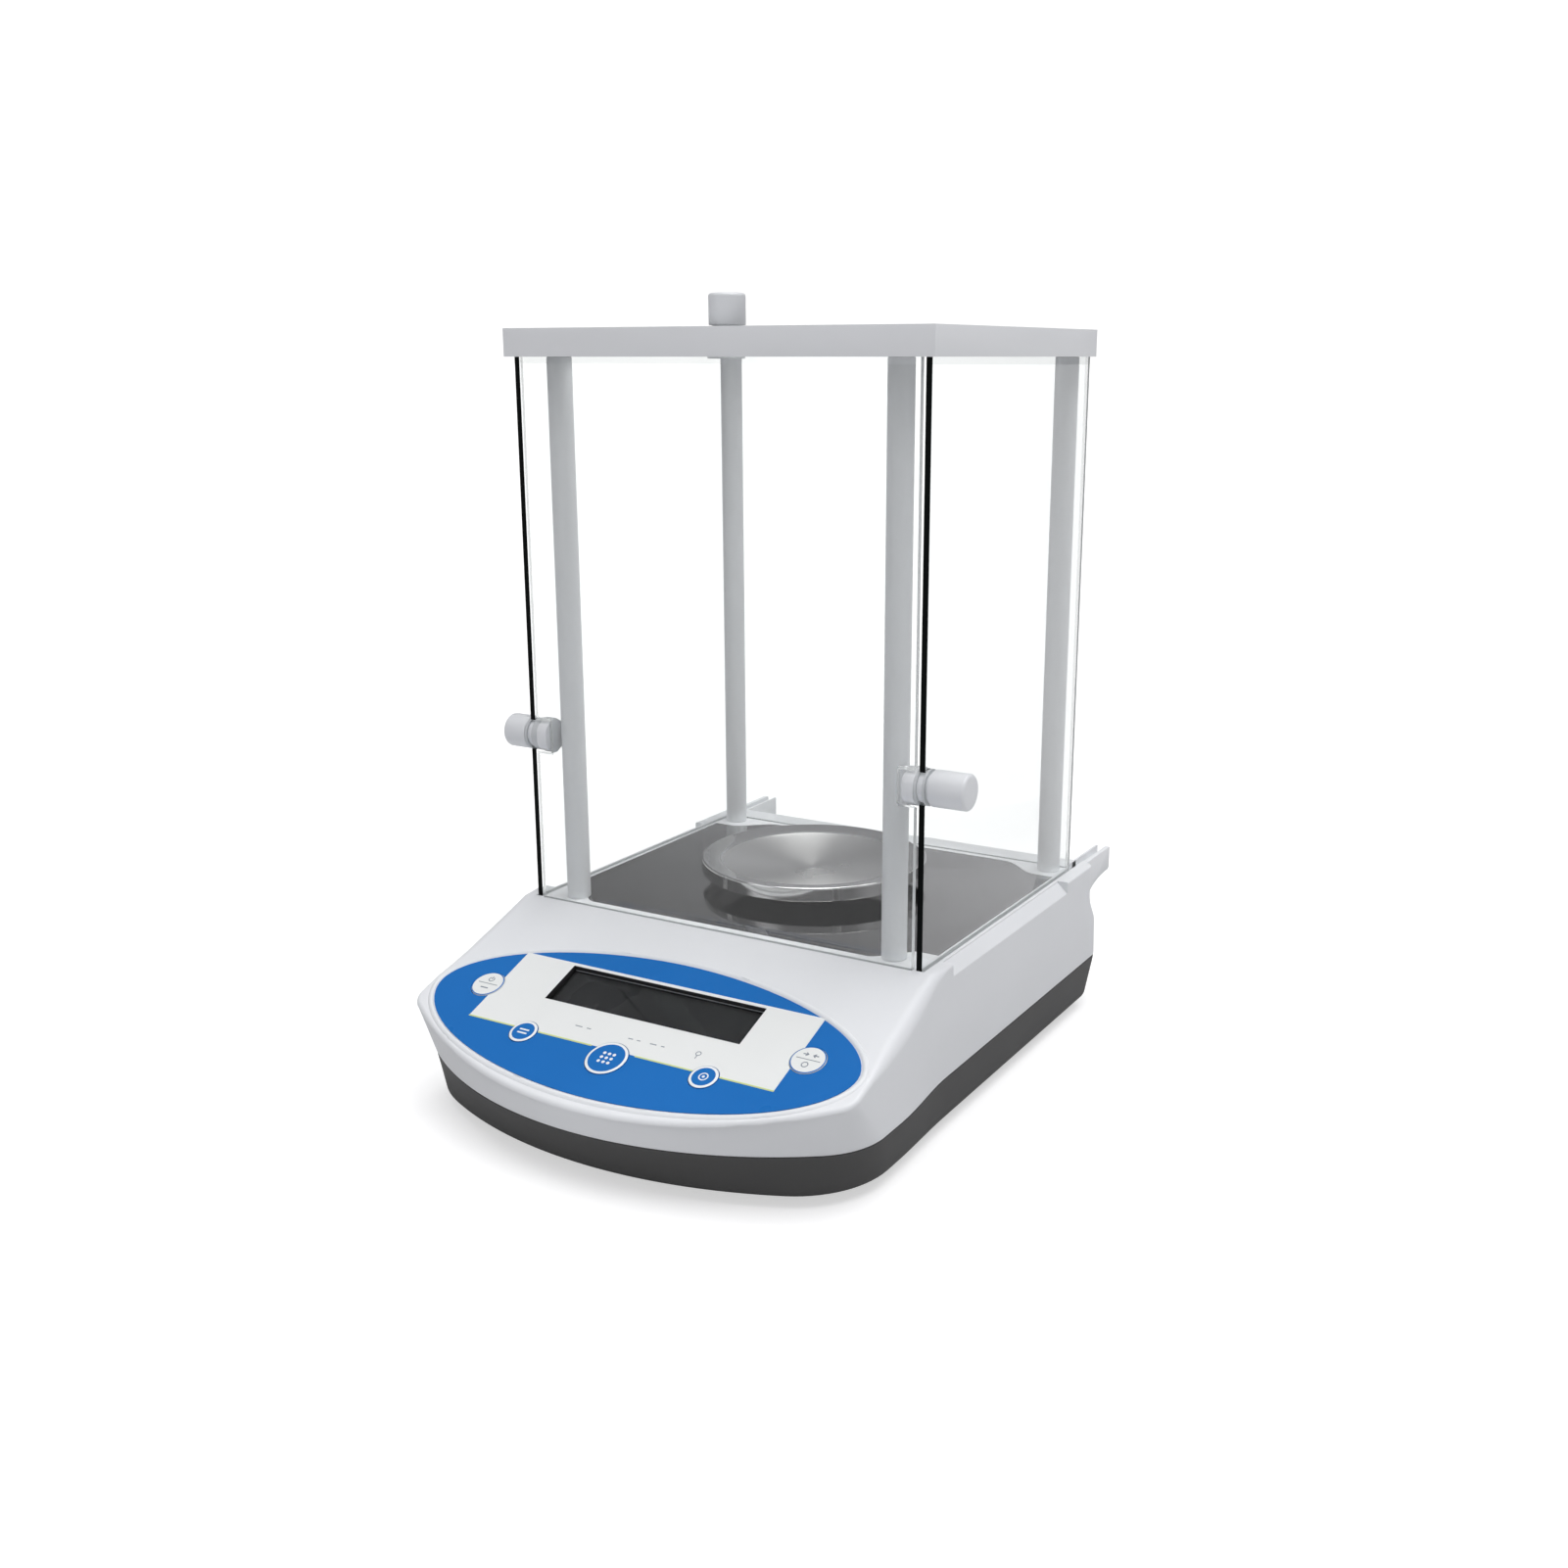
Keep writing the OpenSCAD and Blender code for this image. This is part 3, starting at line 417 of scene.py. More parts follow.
def plan(shape, drawn_in=0.0, rear=None):
    """An outline counter-clockwise from the nose, as (x, y, inward normal). All have the same points."""
    tip, nose_r, corner_r, front_half, rear_half, rear_y = shape
    rear_y = rear_y if rear is None else rear
    nose = (0.0, tip + nose_r)
    corner_x = front_half - corner_r
    corner = (corner_x, nose[1] - math.sqrt((nose_r - corner_r) ** 2 - corner_x ** 2))
    turn = math.degrees(math.atan2(corner[1] - nose[1], corner_x))
    right = arc(nose, nose_r, -90, turn, 48) + arc(corner, corner_r, turn, 0, 14)[1:]
    stops = [corner[1] + (-75 - corner[1]) * i / 7 for i in range(1, 8)]
    stops += [-70, -65, SHOULDER[0] - 0.25, SHOULDER[0]] + [SHOULDER[0] + 9 * i for i in range(1, 13)]
    stops += [SHOULDER[1], SHOULDER[1] + 0.25, 64, 70, 76]
    for y in stops:
        share = min(1.0, max(0.0, (-62.0 - y) / 44.0))
        right.append((rear_half + (front_half - rear_half) * (3 - 2 * share) * share ** 2, y, -1.0, 0.0))
    rear_corner = (rear_half - REAR_R, rear_y - REAR_R)
    to_groove = math.degrees(math.acos((GROOVE_X[1] - rear_corner[0]) / REAR_R))
    right += arc(rear_corner, REAR_R, 0, to_groove, 9) + arc(rear_corner, REAR_R, to_groove, 90, 3)[1:]
    right += [(x, rear_y, 0.0, -1.0) for x in (GROOVE_X[0], 88, 75, 60, 45, 30, 15)]
    left = [(-x, y, -nx, ny) for x, y, nx, ny in reversed(right[1:])]
    whole = right + [(0.0, rear_y, 0.0, -1.0)] + left
    return [(x + nx * drawn_in, y + ny * drawn_in, nx, ny) for x, y, nx, ny in whole]


def blend(a, b, share):
    return [tuple(p + (q - p) * share for p, q in zip(one, two)) for one, two in zip(a, b)]


def oval(grow, count=200):
    """The keypad field's edge in plan, moved outward along the panel."""
    out = []
    for i in range(count):
        a = 2 * math.pi * i / count
        c, s = math.cos(a), math.sin(a)
        reach = OVAL_UP if s > 0 else OVAL_DOWN
        v = -OVAL_U + (reach + grow) * math.copysign(abs(s) ** (2 / 1.9), s)
        out.append(((OVAL_W + grow) * math.copysign(abs(c) ** (2 / 1.9), c), CREASE + v * COS))
    return out


def deck_drop(y):
    """Height of the top surface: flat deck, a soft crease, then the panel."""
    soft = 1.4
    t = CREASE - y
    if t <= -soft:
        return 0.0
    return -t * TAN if t >= soft else -TAN * (t + soft) ** 2 / (4 * soft)


def rear_limit(z):
    if z > -14:
        return REAR_TOP
    if z > -31:
        return REAR_TOP + 4 * (1 - math.cos(math.pi * (-14 - z) / 17))
    return REAR_TOP + 8 + 3 * (-31 - z) / (-31 - SEAM)


def wall_outline(z):
    """The white housing's outline at one height."""
    rear = rear_limit(z)
    share = min(1.0, max(0.0, (-RIM_DEPTH - z) / (-RIM_DEPTH - SEAM)))
    return blend(plan(RIM, rear=rear), plan(SEAM_PLAN, rear=rear), share)


def circle(x, y, r, count=48):
    turns = [2 * math.pi * i / count for i in range(count)]
    return [(x + r * math.cos(a), y + r * math.sin(a)) for a in turns]


def rectangle(x0, y0, x1, y1):
    return [(x0, y0), (x1, y0), (x1, y1), (x0, y1)]


def sweep(a, b, steps=14):
    return [(a[0] + (b[0] - a[0]) * i / steps, a[1] + (b[1] - a[1]) * (1 - math.cos(math.pi * i / steps)) / 2)
            for i in range(steps + 1)]


def plate_outline(grow=0.0):
    right = sweep((66, -67.7 - grow), (82 + grow, -54.5 - grow))
    right += [(88.6 + grow, -54.5 - grow), (88.6 + grow, 61.6 + grow)]
    right += sweep((80 + grow, 61.6 + grow), (60, 73.8 + grow))
    return right + [(-x, y) for x, y in reversed(right)]


def build_housing():
    outline = plan(RIM, rear=REAR_TOP)
    bead_edge = oval(BEAD_IN + BEAD_W + 0.15)
    fillets = []
    for x, y, nx, ny in outline:
        room = min(math.hypot(x - bx, y - by) for bx, by in bead_edge)
        if y < CREASE - 6:
            wanted = 1.5 + 4.5 * min(1.0, max(0.0, (y + 140) / 30))
        else:
            wanted = max(0.8, 6.0 - (y - CREASE + 6) * 0.30)
        fillets.append(max(0.5, min(wanted, room * 0.93)))
    for _ in range(3):
        fillets = [min(f, (fillets[i - 1] + f + fillets[(i + 1) % len(fillets)]) / 3 + 0.25)
                   for i, f in enumerate(fillets)]
    # the shoulders' lip and 45 degree strip, as (inward, down)
    chamfer = [(5.2, 0.0), (4.95, 0.15), (4.85, 0.7), (3.6, 1.8), (2.5, 2.75),
               (1.4, 3.75), (0.45, 4.6), (0.1, 4.95), (0, 5.4)]
    steps = len(chamfer) - 1

    def ring(k):
        out = []
        for (x, y, nx, ny), r in zip(outline, fillets):
            if SHOULDER[0] <= y <= SHOULDER[1] and ny == 0:
                d, h = chamfer[k]
            else:
                a = math.pi / 2 * k / steps
                d, h = r * (1 - math.sin(a)), r * (1 - math.cos(a))
            px, py = x + nx * d, y + ny * d
            out.append((px, py, deck_drop(py) - h))
        return out

    top = [ring(k) for k in range(steps + 1)]
    rings = [[at(*p) for p in r] for r in top]
    lowest = top[-1]
    levels = 18
    for j in range(1, levels + 1):
        row = []
        for i, (_, _, z0) in enumerate(lowest):
            start = -GROOVE_DEPTH if z0 > -3.3 else z0 - 0.2
            z = start + (SEAM + 0.5 - start) * (j - 1) / (levels - 1)
            x, y, _, _ = wall_outline(z)[i]
            row.append(at(x, y, z))
        rings.append(row)
    for inset, z in ((0.35, SEAM + 0.05), (2.2, SEAM + 0.05)):
        rings.append([at(x, y, z) for x, y, _, _ in plan(SEAM_PLAN, inset)])

    bm = bmesh.new()
    loft(bm, rings)
    # the door grooves run out through the rear face
    mouth = []
    for face in bm.faces:
        centre = face.calc_center_median()
        if (GROOVE_X[0] < abs(centre.x / MM) < GROOVE_X[1] and centre.y > CHAMBER_Y + 88 * MM
                and centre.z > DECK_Z - GROOVE_DEPTH * MM):
            mouth.append(face)
    bmesh.ops.delete(bm, geom=mouth, context="FACES")

    bead_of, bead_loops = {}, []
    for k in range(11):
        grow = BEAD_IN + BEAD_W * k / 10
        loop = oval(grow)
        bead_loops.append(loop)
        for x, y in loop:
            bead_of[(round(x, 3), round(y, 3))] = grow
    bead_loops += [oval(BEAD_IN - 0.5)]

    def surface(x, y):
        z = deck_drop(y)
        grow = bead_of.get((round(x, 3), round(y, 3))) if y < CREASE else None
        if grow is not None:
            z += BEAD_H / COS * math.sin(math.pi * (grow - BEAD_IN) / BEAD_W) ** 0.75
        return at(x, y, z)

    def panel_hole(points):
        return [(x, CREASE - u * COS) for x, u in points]

    half_w, half_h = DISPLAY_W / 2, DISPLAY_H / 2
    display = panel_hole(reversed(rectangle(-half_w, DISPLAY_U - half_h, half_w, DISPLAY_U + half_h)))
    keyholes = [panel_hole(reversed(circle(x, u, r + 0.25))) for x, u, r in KEYS.values()]
    panes = [rectangle(-88.85, -74.55, 88.85, -71.65), rectangle(-88.85, 76.85, 88.85, 79.75)]
    plate = plate_outline(0.15)
    border = [(x, y) for x, y, _ in top[0]]
    doors = []
    count = len(border)

    def nearest(x, y):
        return min(range(count), key=lambda i: math.hypot(outline[i][0] - x, outline[i][1] - y))

    right_in = nearest(GROOVE_X[0], REAR_TOP)
    right_out = min(range(count), key=lambda i: abs(outline[i][0] - GROOVE_X[1]) + (outline[i][1] < 85) * 99)
    left_in, left_out = (count - right_in) % count, (count - right_out) % count
    sides = {}
    for outer, inner, side in ((right_out, right_in, 1), (left_in, left_out, -1)):
        first, last = border[outer], border[inner]
        xs = (GROOVE_X[1], GROOVE_X[0]) if side > 0 else (-GROOVE_X[0], -GROOVE_X[1])
        sides[outer] = (inner, [first, (xs[0], GROOVE_START), (xs[1], GROOVE_START), last])
    path, i = [], 0
    while i < count:
        if i in sides:
            inner, detour = sides[i]
            path += detour
            doors.append(detour)
            i = inner + 1
        else:
            path.append(border[i])
            i += 1
    fill(bm, path, [plate, display] + keyholes + panes, bead_loops, surface)
    recesses = [(pane, SLOT_DEPTH) for pane in panes] + [(plate, PLATE_BED), (display, PANEL_HOLE)]
    for loop, depth in recesses + [(keyhole, PANEL_HOLE) for keyhole in keyholes]:
        low_edge = [at(x, y, deck_drop(y) - depth) for x, y in loop]
        loft(bm, [[surface(x, y) for x, y in loop], low_edge], flip=True)
        if depth == SLOT_DEPTH:
            fill(bm, loop, [], [], lambda x, y: at(x, y, -SLOT_DEPTH))
    for detour in doors:
        low_edge = [at(x, y, -GROOVE_DEPTH) for x, y in detour]
        loft(bm, [[at(x, y, 0) for x, y in detour], low_edge], closed=False)
        floor_x = sorted(x for x, _ in detour[1:3])
        groove = rectangle(floor_x[0], GROOVE_START, floor_x[1], REAR_TOP)
        fill(bm, groove, [], [], lambda x, y: at(x, y, -GROOVE_DEPTH))
    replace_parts(finish_mesh(bm, "housing_cover", "base", ["white_plastic"]), "top_housing")


def extrude_x(bm, outline, x0, x1):
    """A flat outline in y and z, given clockwise seen from +X, made solid between x0 and x1."""
    a = [bm.verts.new(at(x0, y, z)) for y, z in outline]
    b = [bm.verts.new(at(x1, y, z)) for y, z in outline]
    bm.faces.new(a)
    bm.faces.new(list(reversed(b)))
    for i in range(len(outline)):
        j = (i + 1) % len(outline)
        bm.faces.new([a[j], a[i], b[i], b[j]])


def build_rail_ends():
    turns = [math.radians(90 * i / 12) for i in range(13)]
    curve = [(119 - 26 * math.sin(a), -19 + 8 * math.cos(a)) for a in turns]
    for side, name in ((1, "right"), (-1, "left")):
        bm = bmesh.new()
        for x0, x1, top in ((88.6, GROOVE_X[0], 0.0), (*GROOVE_X, -GROOVE_DEPTH), (GROOVE_X[1], 95.7, 0.0)):
            shape = [(87, top - 0.03), (120, top - 0.03), (120, -10)] + curve + [(87, -19)]
            x0, x1 = (x0, x1) if side > 0 else (-x1, -x0)
            extrude_x(bm, list(reversed(shape)), x0, x1)
        bmesh.ops.recalc_face_normals(bm, faces=bm.faces)
        sharp = [e for e in bm.edges if e.calc_face_angle(0.0) > math.radians(30)]
        bmesh.ops.bevel(bm, geom=sharp, offset=0.3 * MM, segments=2, profile=0.5, affect="EDGES",
                        clamp_overlap=True)
        finish_mesh(bm, name + "_rail_end", "base", ["white_plastic"], weld=0.0005)


def build_base():
    def level(z, inset):
        share = (SEAM - z) / (SEAM - BASE)
        edge = blend(plan(SEAM_PLAN), plan(FOOT_PLAN, 0.3), share)
        return [(x + nx * inset, y + ny * inset, z) for x, y, nx, ny in edge]

    foot_r, foot_h = 13.0, 7.0
    rings = [level(SEAM - 0.1, 2.4), level(SEAM - 0.1, 0.45), level(SEAM - 0.45, 0.1)]
    low_r = 3.2
    rings += [level(SEAM - 0.45 + (BASE + low_r - SEAM + 0.45) * j / 8, 0.0) for j in range(1, 9)]
    for j in range(1, 8):
        a = math.pi / 2 * j / 7
        rings.append(level(BASE + low_r * (1 - math.sin(a)), low_r * (1 - math.cos(a))))
    bm = bmesh.new()
    loft(bm, [[at(*p) for p in ring] for ring in rings])
    border = [(x, y) for x, y, _ in rings[-1]]
    pockets = [(circle(s * x, y, foot_r), foot_h) for s in (-1, 1) for x, y in FEET.values()]
    pockets += [(circle(s * x, y, 3.6, 32), 8.0) for s in (-1, 1) for x, y in SCREWS]
    fill(bm, border, [p for p, _ in pockets], [], lambda x, y: at(x, y, BASE), down=True)
    for loop, depth in pockets:
        loft(bm, [[at(x, y, BASE) for x, y in loop], [at(x, y, BASE + depth) for x, y in loop]])
        fill(bm, loop, [], [], lambda x, y, d=depth: at(x, y, BASE + d), down=True)
    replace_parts(finish_mesh(bm, "base_tray", "base", ["dark_plastic"]), "bottom_shell")


def build_plate():
    bm = bmesh.new()
    hole = circle(0, PAN_Y, 7, 64)
    outer = [plate_outline(-0.25), plate_outline(-0.08), plate_outline(0.0), plate_outline(0.0)]
    heights = [-0.1, -0.14, -0.3, -1.1]
    loft(bm, [[at(x, y, z) for x, y in ring] for ring, z in zip(outer, heights)])
    loft(bm, [[at(x, y, -0.1) for x, y in hole], [at(x, y, -1.1) for x, y in hole]], flip=True)
    fill(bm, outer[0], [hole], [], lambda x, y: at(x, y, -0.1))
    fill(bm, outer[-1], [hole], [], lambda x, y: at(x, y, -1.1), down=True)
    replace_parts(finish_mesh(bm, "deck_plate_sheet", "base", ["mirror_steel"]), "deck_plate")


def smooth_line(points, steps=6):
    """A Catmull-Rom line through points."""
    out = []
    padded = [points[0]] + points + [points[-1]]
    for a, b, c, d in zip(padded, padded[1:], padded[2:], padded[3:]):
        for i in range(steps):
            t = i / steps
            out.append(tuple(0.5 * (2 * b[k] + (c[k] - a[k]) * t
                                    + (2 * a[k] - 5 * b[k] + 4 * c[k] - d[k]) * t * t
                                    + (3 * b[k] - a[k] - 3 * c[k] + d[k]) * t ** 3) for k in (0, 1)))
    return out + [points[-1]]


def build_pan():
    r, z = 48.75, PAN_TOP
    bowl = [(39.4 * i / 16, z - 5.5 + 3.9 * (i / 16) ** 2.4) for i in range(17)]
    lip = smooth_line([(39.4, z - 1.6), (40.5, z - 1.15), (41.6, z - 0.95), (44, z - 0.62), (46.6, z - 0.25),
                       (47.9, z - 0.03)], 4)
    side = [(r - 0.45, z - 0.08), (r - 0.15, z - 0.32), (r, z - 0.75), (r, z - 1.0), (r, z - 5.55),
            (r, z - 5.8), (r - 0.12, z - 5.97), (r - 0.5, z - 6), (r - 0.88, z - 5.97),
            (r - 1.0, z - 5.8), (r - 1.0, z - 5.55), (r - 1.0, z - 1.3)]
    under = [(41.5, z - 2.2)] + [(x, y - 1) for x, y in reversed(bowl) if 7 < x < 39]
    hub = [(6.3, z - 6.9), (6.3, z - 11.2), (6.0, z - 11.4), (4.65, z - 11.4)]
    profile = bowl + lip[1:] + side + under + hub
    materials = [1] * (len(bowl) - 1) + [0] * (len(profile) - len(bowl))
    bm = bmesh.new()
    lathe(bm, list(reversed(profile)), lambda a, b, c: at(a, b + PAN_Y, c), 160, list(reversed(materials)))
    pan = finish_mesh(bm, "weighing_pan_pressed", "pan", ["bright_steel", "satin_steel"])
    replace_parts(pan, "weighing_pan")


def side_axis(side):
    """The place of a side door's knob, with its local Z pointing outward from the door."""
    return lambda a, b, c: at(side * (DOOR_FACE + c), KNOB_Y + (b if side > 0 else -b), KNOB_Z - a)


def build_knob(node, body, place, collar, length, inner=1.0):
    bm = bmesh.new()
    r = 7.0
    end = -GLASS_T - inner - NUT_REACH
    profile = [(0, end), (2.7, end), (3, end + 0.3), (3, -GLASS_T), (6, -GLASS_T), (6, 0), (5.5, 0),
               (5.5, collar - 0.3), (5.7, collar), (r - 0.5, collar), (r - 0.12, collar + 0.12),
               (r, collar + 0.5), (r, length - 1.4)]
    turns = [math.pi / 2 * i / 6 for i in range(1, 7)]
    profile += [(r - 1.3 * (1 - math.cos(a)), length - 1.4 + 1.3 * math.sin(a)) for a in turns]
    profile += [(r - 2.4, length - 0.02), (0, length)]
    lathe(bm, profile, place, 72)
    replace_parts(finish_mesh(bm, node + "_turned", body, ["knob_plastic"]), node)


def build_key(name):
    x, u, r = KEYS[name]
    blue = name in ("unit_key", "count_key", "calibrate_key")
    ring = 1.15 if blue else 0.55
    place = lambda a, b, c: on_panel(x + a, u - b, c)
    profile = [(0, -4.9), (2, -4.9), (2, -1.5), (r - 0.2, -1.6), (r, -1.4), (r, 0.42), (r - 0.10, 0.58),
               (r - 0.32, 0.66), (r - ring, 0.70), (r - ring - 0.05, 0.70), (r * 0.5, 0.715), (0, 0.72)]
    slots = ["blue_film", "print_white"] if blue else ["white_film", "blue_film"]
    materials = [0] * 6 + [1, 1, 0, 0, 0]
    bm = bmesh.new()
    lathe(bm, profile, place, 72, materials)
    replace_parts(finish_mesh(bm, name + "_cap", name, slots), name)
    return place, blue


def bar(bm, place, x0, y0, x1, y1, half, low=0.66, high=0.755):
    """A flat printed bar with round ends, on a key or on the film."""
    dx, dy = x1 - x0, y1 - y0
    turn = math.atan2(dy, dx)
    loop = []
    for cx, cy, start in ((x1, y1, turn - math.pi / 2), (x0, y0, turn + math.pi / 2)):
        turns = [start + math.pi * i / 8 for i in range(9)]
        loop += [(cx + half * math.cos(a), cy + half * math.sin(a)) for a in turns]
    top = [bm.verts.new(place(x, y, high)) for x, y in loop]
    low_ring = [bm.verts.new(place(x, y, low)) for x, y in loop]
    bm.faces.new(top)
    for i in range(len(loop)):
        j = (i + 1) % len(loop)
        bm.faces.new([top[j], top[i], low_ring[i], low_ring[j]])


def ring_mark(bm, place, x, y, r, width, start=0.0, end=360.0, low=0.66, high=0.755):
    """A flat printed ring, or part of one."""
    steps = 36
    section = ((r - width / 2, low), (r - width / 2, high), (r + width / 2, high), (r + width / 2, low))
    rows = [[], [], [], []]
    for i in range(steps + 1):
        a = math.radians(start + (end - start) * i / steps)
        for row, (rr, h) in zip(rows, section):
            row.append(bm.verts.new(place(x + rr * math.cos(a), y + rr * math.sin(a), h)))
    for a, b in zip(rows, rows[1:]):
        for i in range(steps):
            bm.faces.new([a[i], b[i], b[i + 1], a[i + 1]])


def build_keys():
    for name in KEYS:
        place, blue = build_key(name)
        bm = bmesh.new()
        if name == "power_key":
            bar(bm, place, -4.6, 0.1, 4.6, 0.1, 0.16)
            ring_mark(bm, place, 0, 2.7, 1.15, 0.4, 120, 420)
            bar(bm, place, 0, 2.9, 0, 4.1, 0.2)
            bar(bm, place, -1.6, -2.4, 1.6, -2.4, 0.3)
        elif name == "tare_key":
            bar(bm, place, -4.8, 0.1, 4.8, 0.1, 0.16)
            for s in (-1, 1):
                bar(bm, place, s * 3.0, 2.5, s * 1.1, 2.5, 0.25)
                bar(bm, place, s * 1.9, 3.2, s * 1.1, 2.5, 0.22)
                bar(bm, place, s * 1.9, 1.8, s * 1.1, 2.5, 0.22)
            ring_mark(bm, place, 0, -2.6, 1.2, 0.42)
        elif name == "unit_key":
            bar(bm, place, -1.9, 0.9, 1.9, 0.9, 0.38)
            bar(bm, place, -1.9, -0.9, 1.9, -0.9, 0.38)
        elif name == "count_key":
            for gx in (-1, 0, 1):
                for gy in (-1, 0, 1):
                    ring_mark(bm, place, gx * 2.2, gy * 2.2, 0.35, 0.69)
        else:
            ring_mark(bm, place, 0, 0, 1.7, 0.5)
            ring_mark(bm, place, 0, 0, 0.3, 0.6)
        finish_mesh(bm, name + "_mark", name, ["print_white" if blue else "print_grey"], weld=0.0005)


def build_film_prints():
    """The lime line under the white field, its pale upper line, and short dashes in place of lettering."""
    bm = bmesh.new()
    for x0, x1 in ((-70.0, -47.6), (-35.4, -10.2), (10.2, 35.4), (47.6, 70.0)):
        bar(bm, on_panel, x0, 73.25, x1, 73.25, 0.34, PRINT_LOW, PRINT_HIGH)
    finish_mesh(bm, "field_line_lime", "base", ["print_lime"], weld=0.0005)
    bm = bmesh.new()
    bar(bm, on_panel, -70.0, 33.8, 70.0, 33.8, 0.28, PRINT_LOW, 0.43)
    finish_mesh(bm, "field_line_white", "base", ["print_white"], weld=0.0005)
    bm = bmesh.new()
    for x, length in ((-23, 3.0), (-17.5, 1.6), (2, 1.8), (6, 1.2), (12, 2.6), (17, 1.2)):
        bar(bm, on_panel, x, 65.5, x + length, 65.5, 0.22, PRINT_LOW, PRINT_HIGH)
    ring_mark(bm, on_panel, 33, 64.6, 1.0, 0.35, low=PRINT_LOW, high=PRINT_HIGH)
    bar(bm, on_panel, 33, 65.6, 33, 67.2, 0.18, PRINT_LOW, PRINT_HIGH)
    finish_mesh(bm, "field_marks", "base", ["print_grey"], weld=0.0005)


def build_display():
    """A black ring in the display opening, painted shade for its recess, and the display's own glass."""
    def frame_ring(w, h, inset, z):
        corners = rectangle(-w + inset, DISPLAY_U - h + inset, w - inset, DISPLAY_U + h - inset)
        return [on_panel(x, y, z) for x, y in corners]

    w, h = DISPLAY_W / 2 - 0.05, DISPLAY_H / 2 - 0.05
    bm = bmesh.new()
    rows = []
    for inset, z in ((0.0, -2.4), (0.0, 0.34), (0.55, 0.36), (0.62, 0.30), (0.62, -2.4)):
        rows.append(list(reversed(frame_ring(w, h, inset, z))))
    loft(bm, rows, flip=True)
    bmesh.ops.recalc_face_normals(bm, faces=bm.faces)
    # black walls and a thin lip round the opening: painted shade of the recess
    finish_mesh(bm, "display_painted_shade_ring", "base", ["black_plastic"])
    bm = bmesh.new()
    rings = []
    for inset, z in ((0.0, -3.35), (0.0, -3.0), (0.15, -2.85)):
        rings.append(frame_ring(44.4, 9.7, inset, z))
    rows = loft(bm, rings)
    bm.faces.new(rows[-1])
    bmesh.ops.recalc_face_normals(bm, faces=bm.faces)
    finish_mesh(bm, "display_glass_cell", "base", ["lcd"])


def build_posts():
    for node in ("front_left_post", "front_right_post", "rear_left_post", "rear_right_post"):
        low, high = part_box(node)
        cx, cy = (low.x + high.x) / 2, (low.y + high.y) / 2
        r, top = (high.x - low.x) / 2 / MM, (high.z - low.z) / MM
        place = lambda a, b, c: Vector((cx + a * MM, cy + b * MM, low.z + c * MM))
        profile = [(2.0, 0.0), (r - 0.5, 0.0), (r - 0.15, 0.15), (r, 0.5)]
        profile += [(r, top * i / 12) for i in range(1, 12)]
        profile += [(r, top - 0.5), (r - 0.15, top - 0.15), (r - 0.5, top), (2.0, top)]
        bm = bmesh.new()
        lathe(bm, profile, place, 72)
        # the posts get the lighter copy of the white paint, painted light
        obj = finish_mesh(bm, node + "_tube", BODY_OF[node], ["post_paint_with_painted_light"])
        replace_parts(obj, node)


def pane_paint(thin, painted_dark_front=False):
    """Clear glass for a pane's faces, ground glass for its edges. The doors' front edges are near-black, a
    painted dark reflection.
    """
    def paint(face):
        if abs(face.normal[thin]) > 0.9:
            return 0
        return 2 if painted_dark_front and face.normal.y < -0.5 else 1
    return paint


# ---------------------------------------------------------------- pieces
build_housing()
build_rail_ends()
build_base()
build_plate()
build_pan()
build_posts()
build_keys()
build_film_prints()
build_display()
refined("top_frame", 0.5, 3)
for node in ("left_door_glass", "right_door_glass"):
    refined(node, 0.12, 1, slots=["glass", "ground_edge", "painted_dark_glass_edge"], paint=pane_paint(0, True))
for node in ("front_glass", "rear_glass"):
    refined(node, 0.12, 1, slots=["glass", "ground_edge"], paint=pane_paint(1))
refined("top_door_glass", 0.12, 1, slots=["glass", "ground_edge"], paint=pane_paint(2))
build_knob("right_door_knob", "right_door", side_axis(1), 2.2, 17.0)
build_knob("left_door_knob", "left_door", side_axis(-1), 1.2, 12.8, 3.1)
build_knob("top_door_knob", "top_door", lambda a, b, c: at(a, TOP_KNOB_Y + b, FRAME_Z + 7.6 + c), 3.8, 15.6)
for node in ("left_door_nut", "right_door_nut", "top_door_nut"):
    refined(node, 0.35, 2)
for node in ("left_door_washers", "right_door_washers", "top_door_washers"):
    refined(node, 0.12, 1)
for node in ("keypad_overlay", "display_bezel"):
    refined(node, 0.06, 1)
for node in ("display_window", "lcd_module", "display_board", "main_board", "ribbon_cable", "load_cell",
             "load_cell_block", "load_arm", "pan_stem", "power_socket", "data_port", "board_screws",
             "load_cell_screws", "post_screws", "frame_screws", "housing_screws"):
    refined(node, 0.2, 1)
for corner in ("front_left", "front_right", "rear_left", "rear_right"):
    refined(corner + "_foot", 0.25, 2)
    refined(corner + "_foot_pad", 0.25, 2)

# ---------------------------------------------------------------- floor, light, camera
floor_material = new_material("floor_matte", [0.58, 0.58, 0.58], 0.9, grain=300, bump=0.02, tint=0.004,
                              specular=0.1)
bm = bmesh.new()
bmesh.ops.create_grid(bm, x_segments=8, y_segments=8, size=60)
mesh = bpy.data.meshes.new("floor")
bm.to_mesh(mesh)
bm.free()
mesh.materials.append(floor_material)
floor = bpy.data.objects.new("floor", mesh)
bpy.context.scene.collection.objects.link(floor)

world = bpy.data.worlds.new("studio")
bpy.context.scene.world = world
world.use_nodes = True
background = world.node_tree.nodes["Background"]


def node(kind, tree=world.node_tree, **values):
    made = tree.nodes.new(kind)
    for key, value in values.items():
        setattr(made, key, value)
    return made


def ramp(stops):
    made = node("ShaderNodeValToRGB")
    while len(made.color_ramp.elements) < len(stops):
        made.color_ramp.elements.new(0.5)
    for element, (position, grey) in zip(made.color_ramp.elements, stops):
        element.position, element.color = position, (grey, grey, grey * 1.05, 1)
    return made


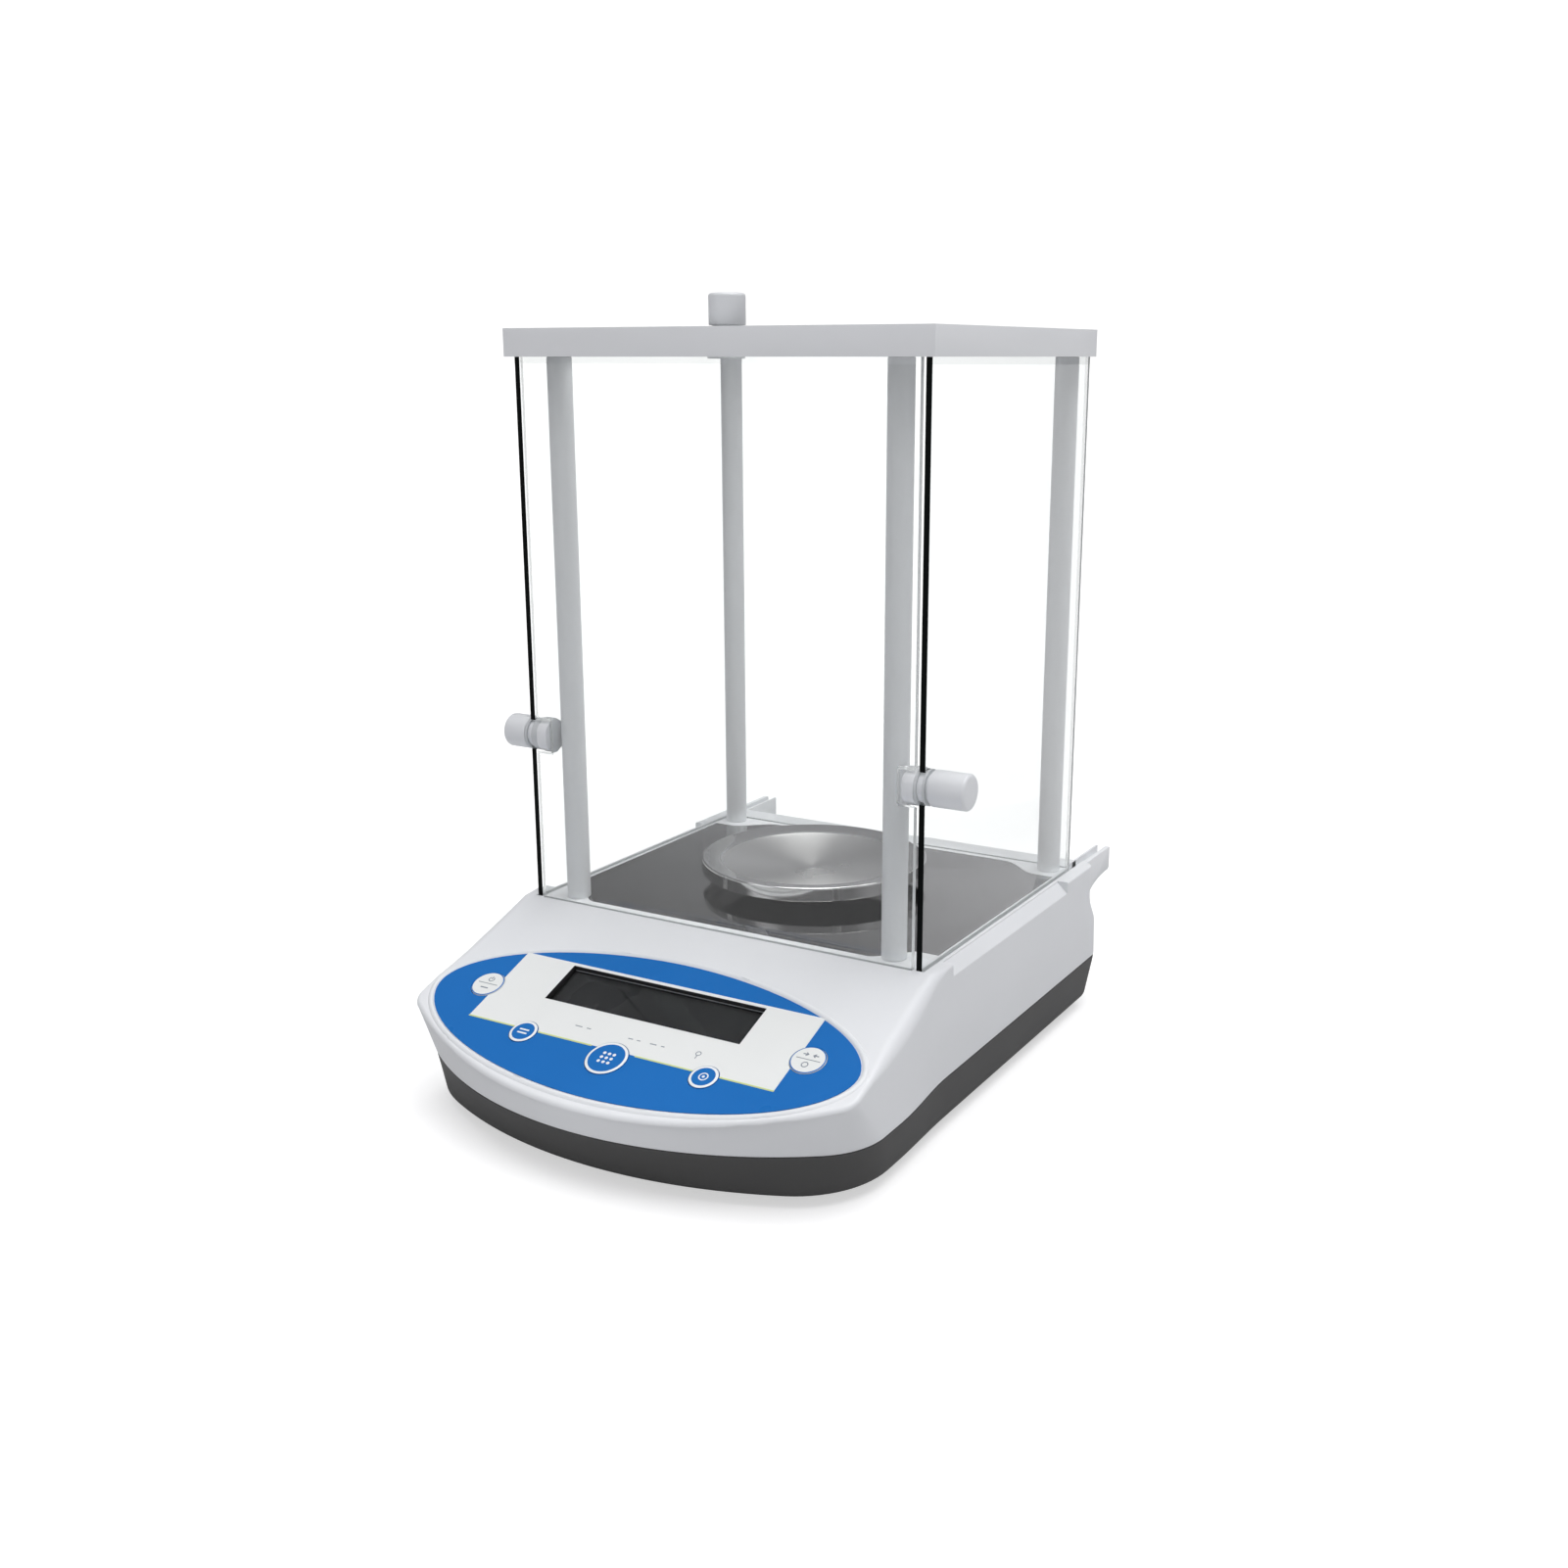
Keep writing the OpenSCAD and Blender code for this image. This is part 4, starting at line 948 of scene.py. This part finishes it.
# The camera sees plain white, also through the glass. All other light comes from light and dark walls.
direction, parts = node("ShaderNodeTexCoord"), node("ShaderNodeSeparateXYZ")
around, turn = node("ShaderNodeMath", operation="ARCTAN2"), node("ShaderNodeMapRange")
turn.inputs["From Min"].default_value, turn.inputs["From Max"].default_value = -math.pi, math.pi
walls = ramp([(0.0, 0.10), (0.14, 0.15), (0.17, 1.2), (0.21, 1.2), (0.24, 0.25), (0.44, 0.28), (0.50, 0.65),
              (0.60, 0.55), (0.70, 0.30), (0.79, 0.50), (0.87, 0.15), (1.0, 0.10)])
ceiling = ramp([(0.0, 0.30), (0.5, 0.28), (0.8, 0.45), (1.0, 0.60)])
up, mix_height = node("ShaderNodeMapRange"), node("ShaderNodeMix", data_type="RGBA")
low_part = node("ShaderNodeMapRange")
low_part.inputs["From Min"].default_value, low_part.inputs["From Max"].default_value = 0.35, 0.7
up.inputs["From Min"].default_value = 0


def seen_directly(tree):
    """1 for what the camera sees, straight or through glass, and 0 for all light that has bounced."""
    seen, bounces = node("ShaderNodeLightPath", tree), node("ShaderNodeMath", tree, operation="ADD")
    direct = node("ShaderNodeMath", tree, operation="LESS_THAN")
    direct.inputs[1].default_value = 0.5
    tree.links.new(seen.outputs["Diffuse Depth"], bounces.inputs[0])
    tree.links.new(seen.outputs["Glossy Depth"], bounces.inputs[1])
    tree.links.new(bounces.outputs["Value"], direct.inputs[0])
    return direct.outputs["Value"]


tree = world.node_tree
choice = node("ShaderNodeMix", data_type="RGBA")
choice.inputs["B"].default_value = (1.08, 1.08, 1.08, 1)
tree.links.new(direction.outputs["Generated"], parts.inputs["Vector"])
tree.links.new(parts.outputs["Y"], around.inputs[0])
tree.links.new(parts.outputs["X"], around.inputs[1])
tree.links.new(around.outputs["Value"], turn.inputs["Value"])
tree.links.new(turn.outputs["Result"], walls.inputs["Fac"])
tree.links.new(parts.outputs["Z"], up.inputs["Value"])
tree.links.new(up.outputs["Result"], ceiling.inputs["Fac"])
tree.links.new(parts.outputs["Z"], low_part.inputs["Value"])
tree.links.new(low_part.outputs["Result"], mix_height.inputs["Factor"])
tree.links.new(walls.outputs["Color"], mix_height.inputs["A"])
tree.links.new(ceiling.outputs["Color"], mix_height.inputs["B"])
tree.links.new(seen_directly(tree), choice.inputs["Factor"])
tree.links.new(mix_height.outputs["Result"], choice.inputs["A"])
tree.links.new(choice.outputs["Result"], background.inputs["Color"])

# the floor looks paler to the camera than the light it gives back
tree = floor_material.node_tree
glow, extra = node("ShaderNodeEmission", tree), node("ShaderNodeMath", tree, operation="MULTIPLY")
extra.inputs[1].default_value = 0.56
total = node("ShaderNodeAddShader", tree)
tree.links.new(seen_directly(tree), extra.inputs[0])
tree.links.new(extra.outputs["Value"], glow.inputs["Strength"])
tree.links.new(tree.nodes["Principled BSDF"].outputs["BSDF"], total.inputs[0])
tree.links.new(glow.outputs["Emission"], total.inputs[1])
tree.links.new(total.outputs["Shader"], tree.nodes["Material Output"].inputs["Surface"])

sun = bpy.data.objects.new("overhead", bpy.data.lights.new("overhead", "SUN"))
sun.data.energy = 2.2
sun.data.angle = math.radians(55)
sun.rotation_euler = Vector((0.14, 0.06, 1.0)).to_track_quat("Z", "Y").to_euler()
bpy.context.scene.collection.objects.link(sun)

camera = bpy.data.objects.new("camera", bpy.data.cameras.new("camera"))
camera.data.sensor_width = 36
camera.data.lens = 37.99
camera.data.shift_x, camera.data.shift_y = -0.0197, 0.0077
camera.data.clip_start = 0.05
camera.location = (0.351906, CHAMBER_Y - 0.602419, DECK_Z + 0.224862)
camera.rotation_euler = (math.radians(75.125), 0, math.radians(30.06))
bpy.context.scene.collection.objects.link(camera)
bpy.context.scene.camera = camera
bpy.context.scene.view_settings.view_transform = "Standard"
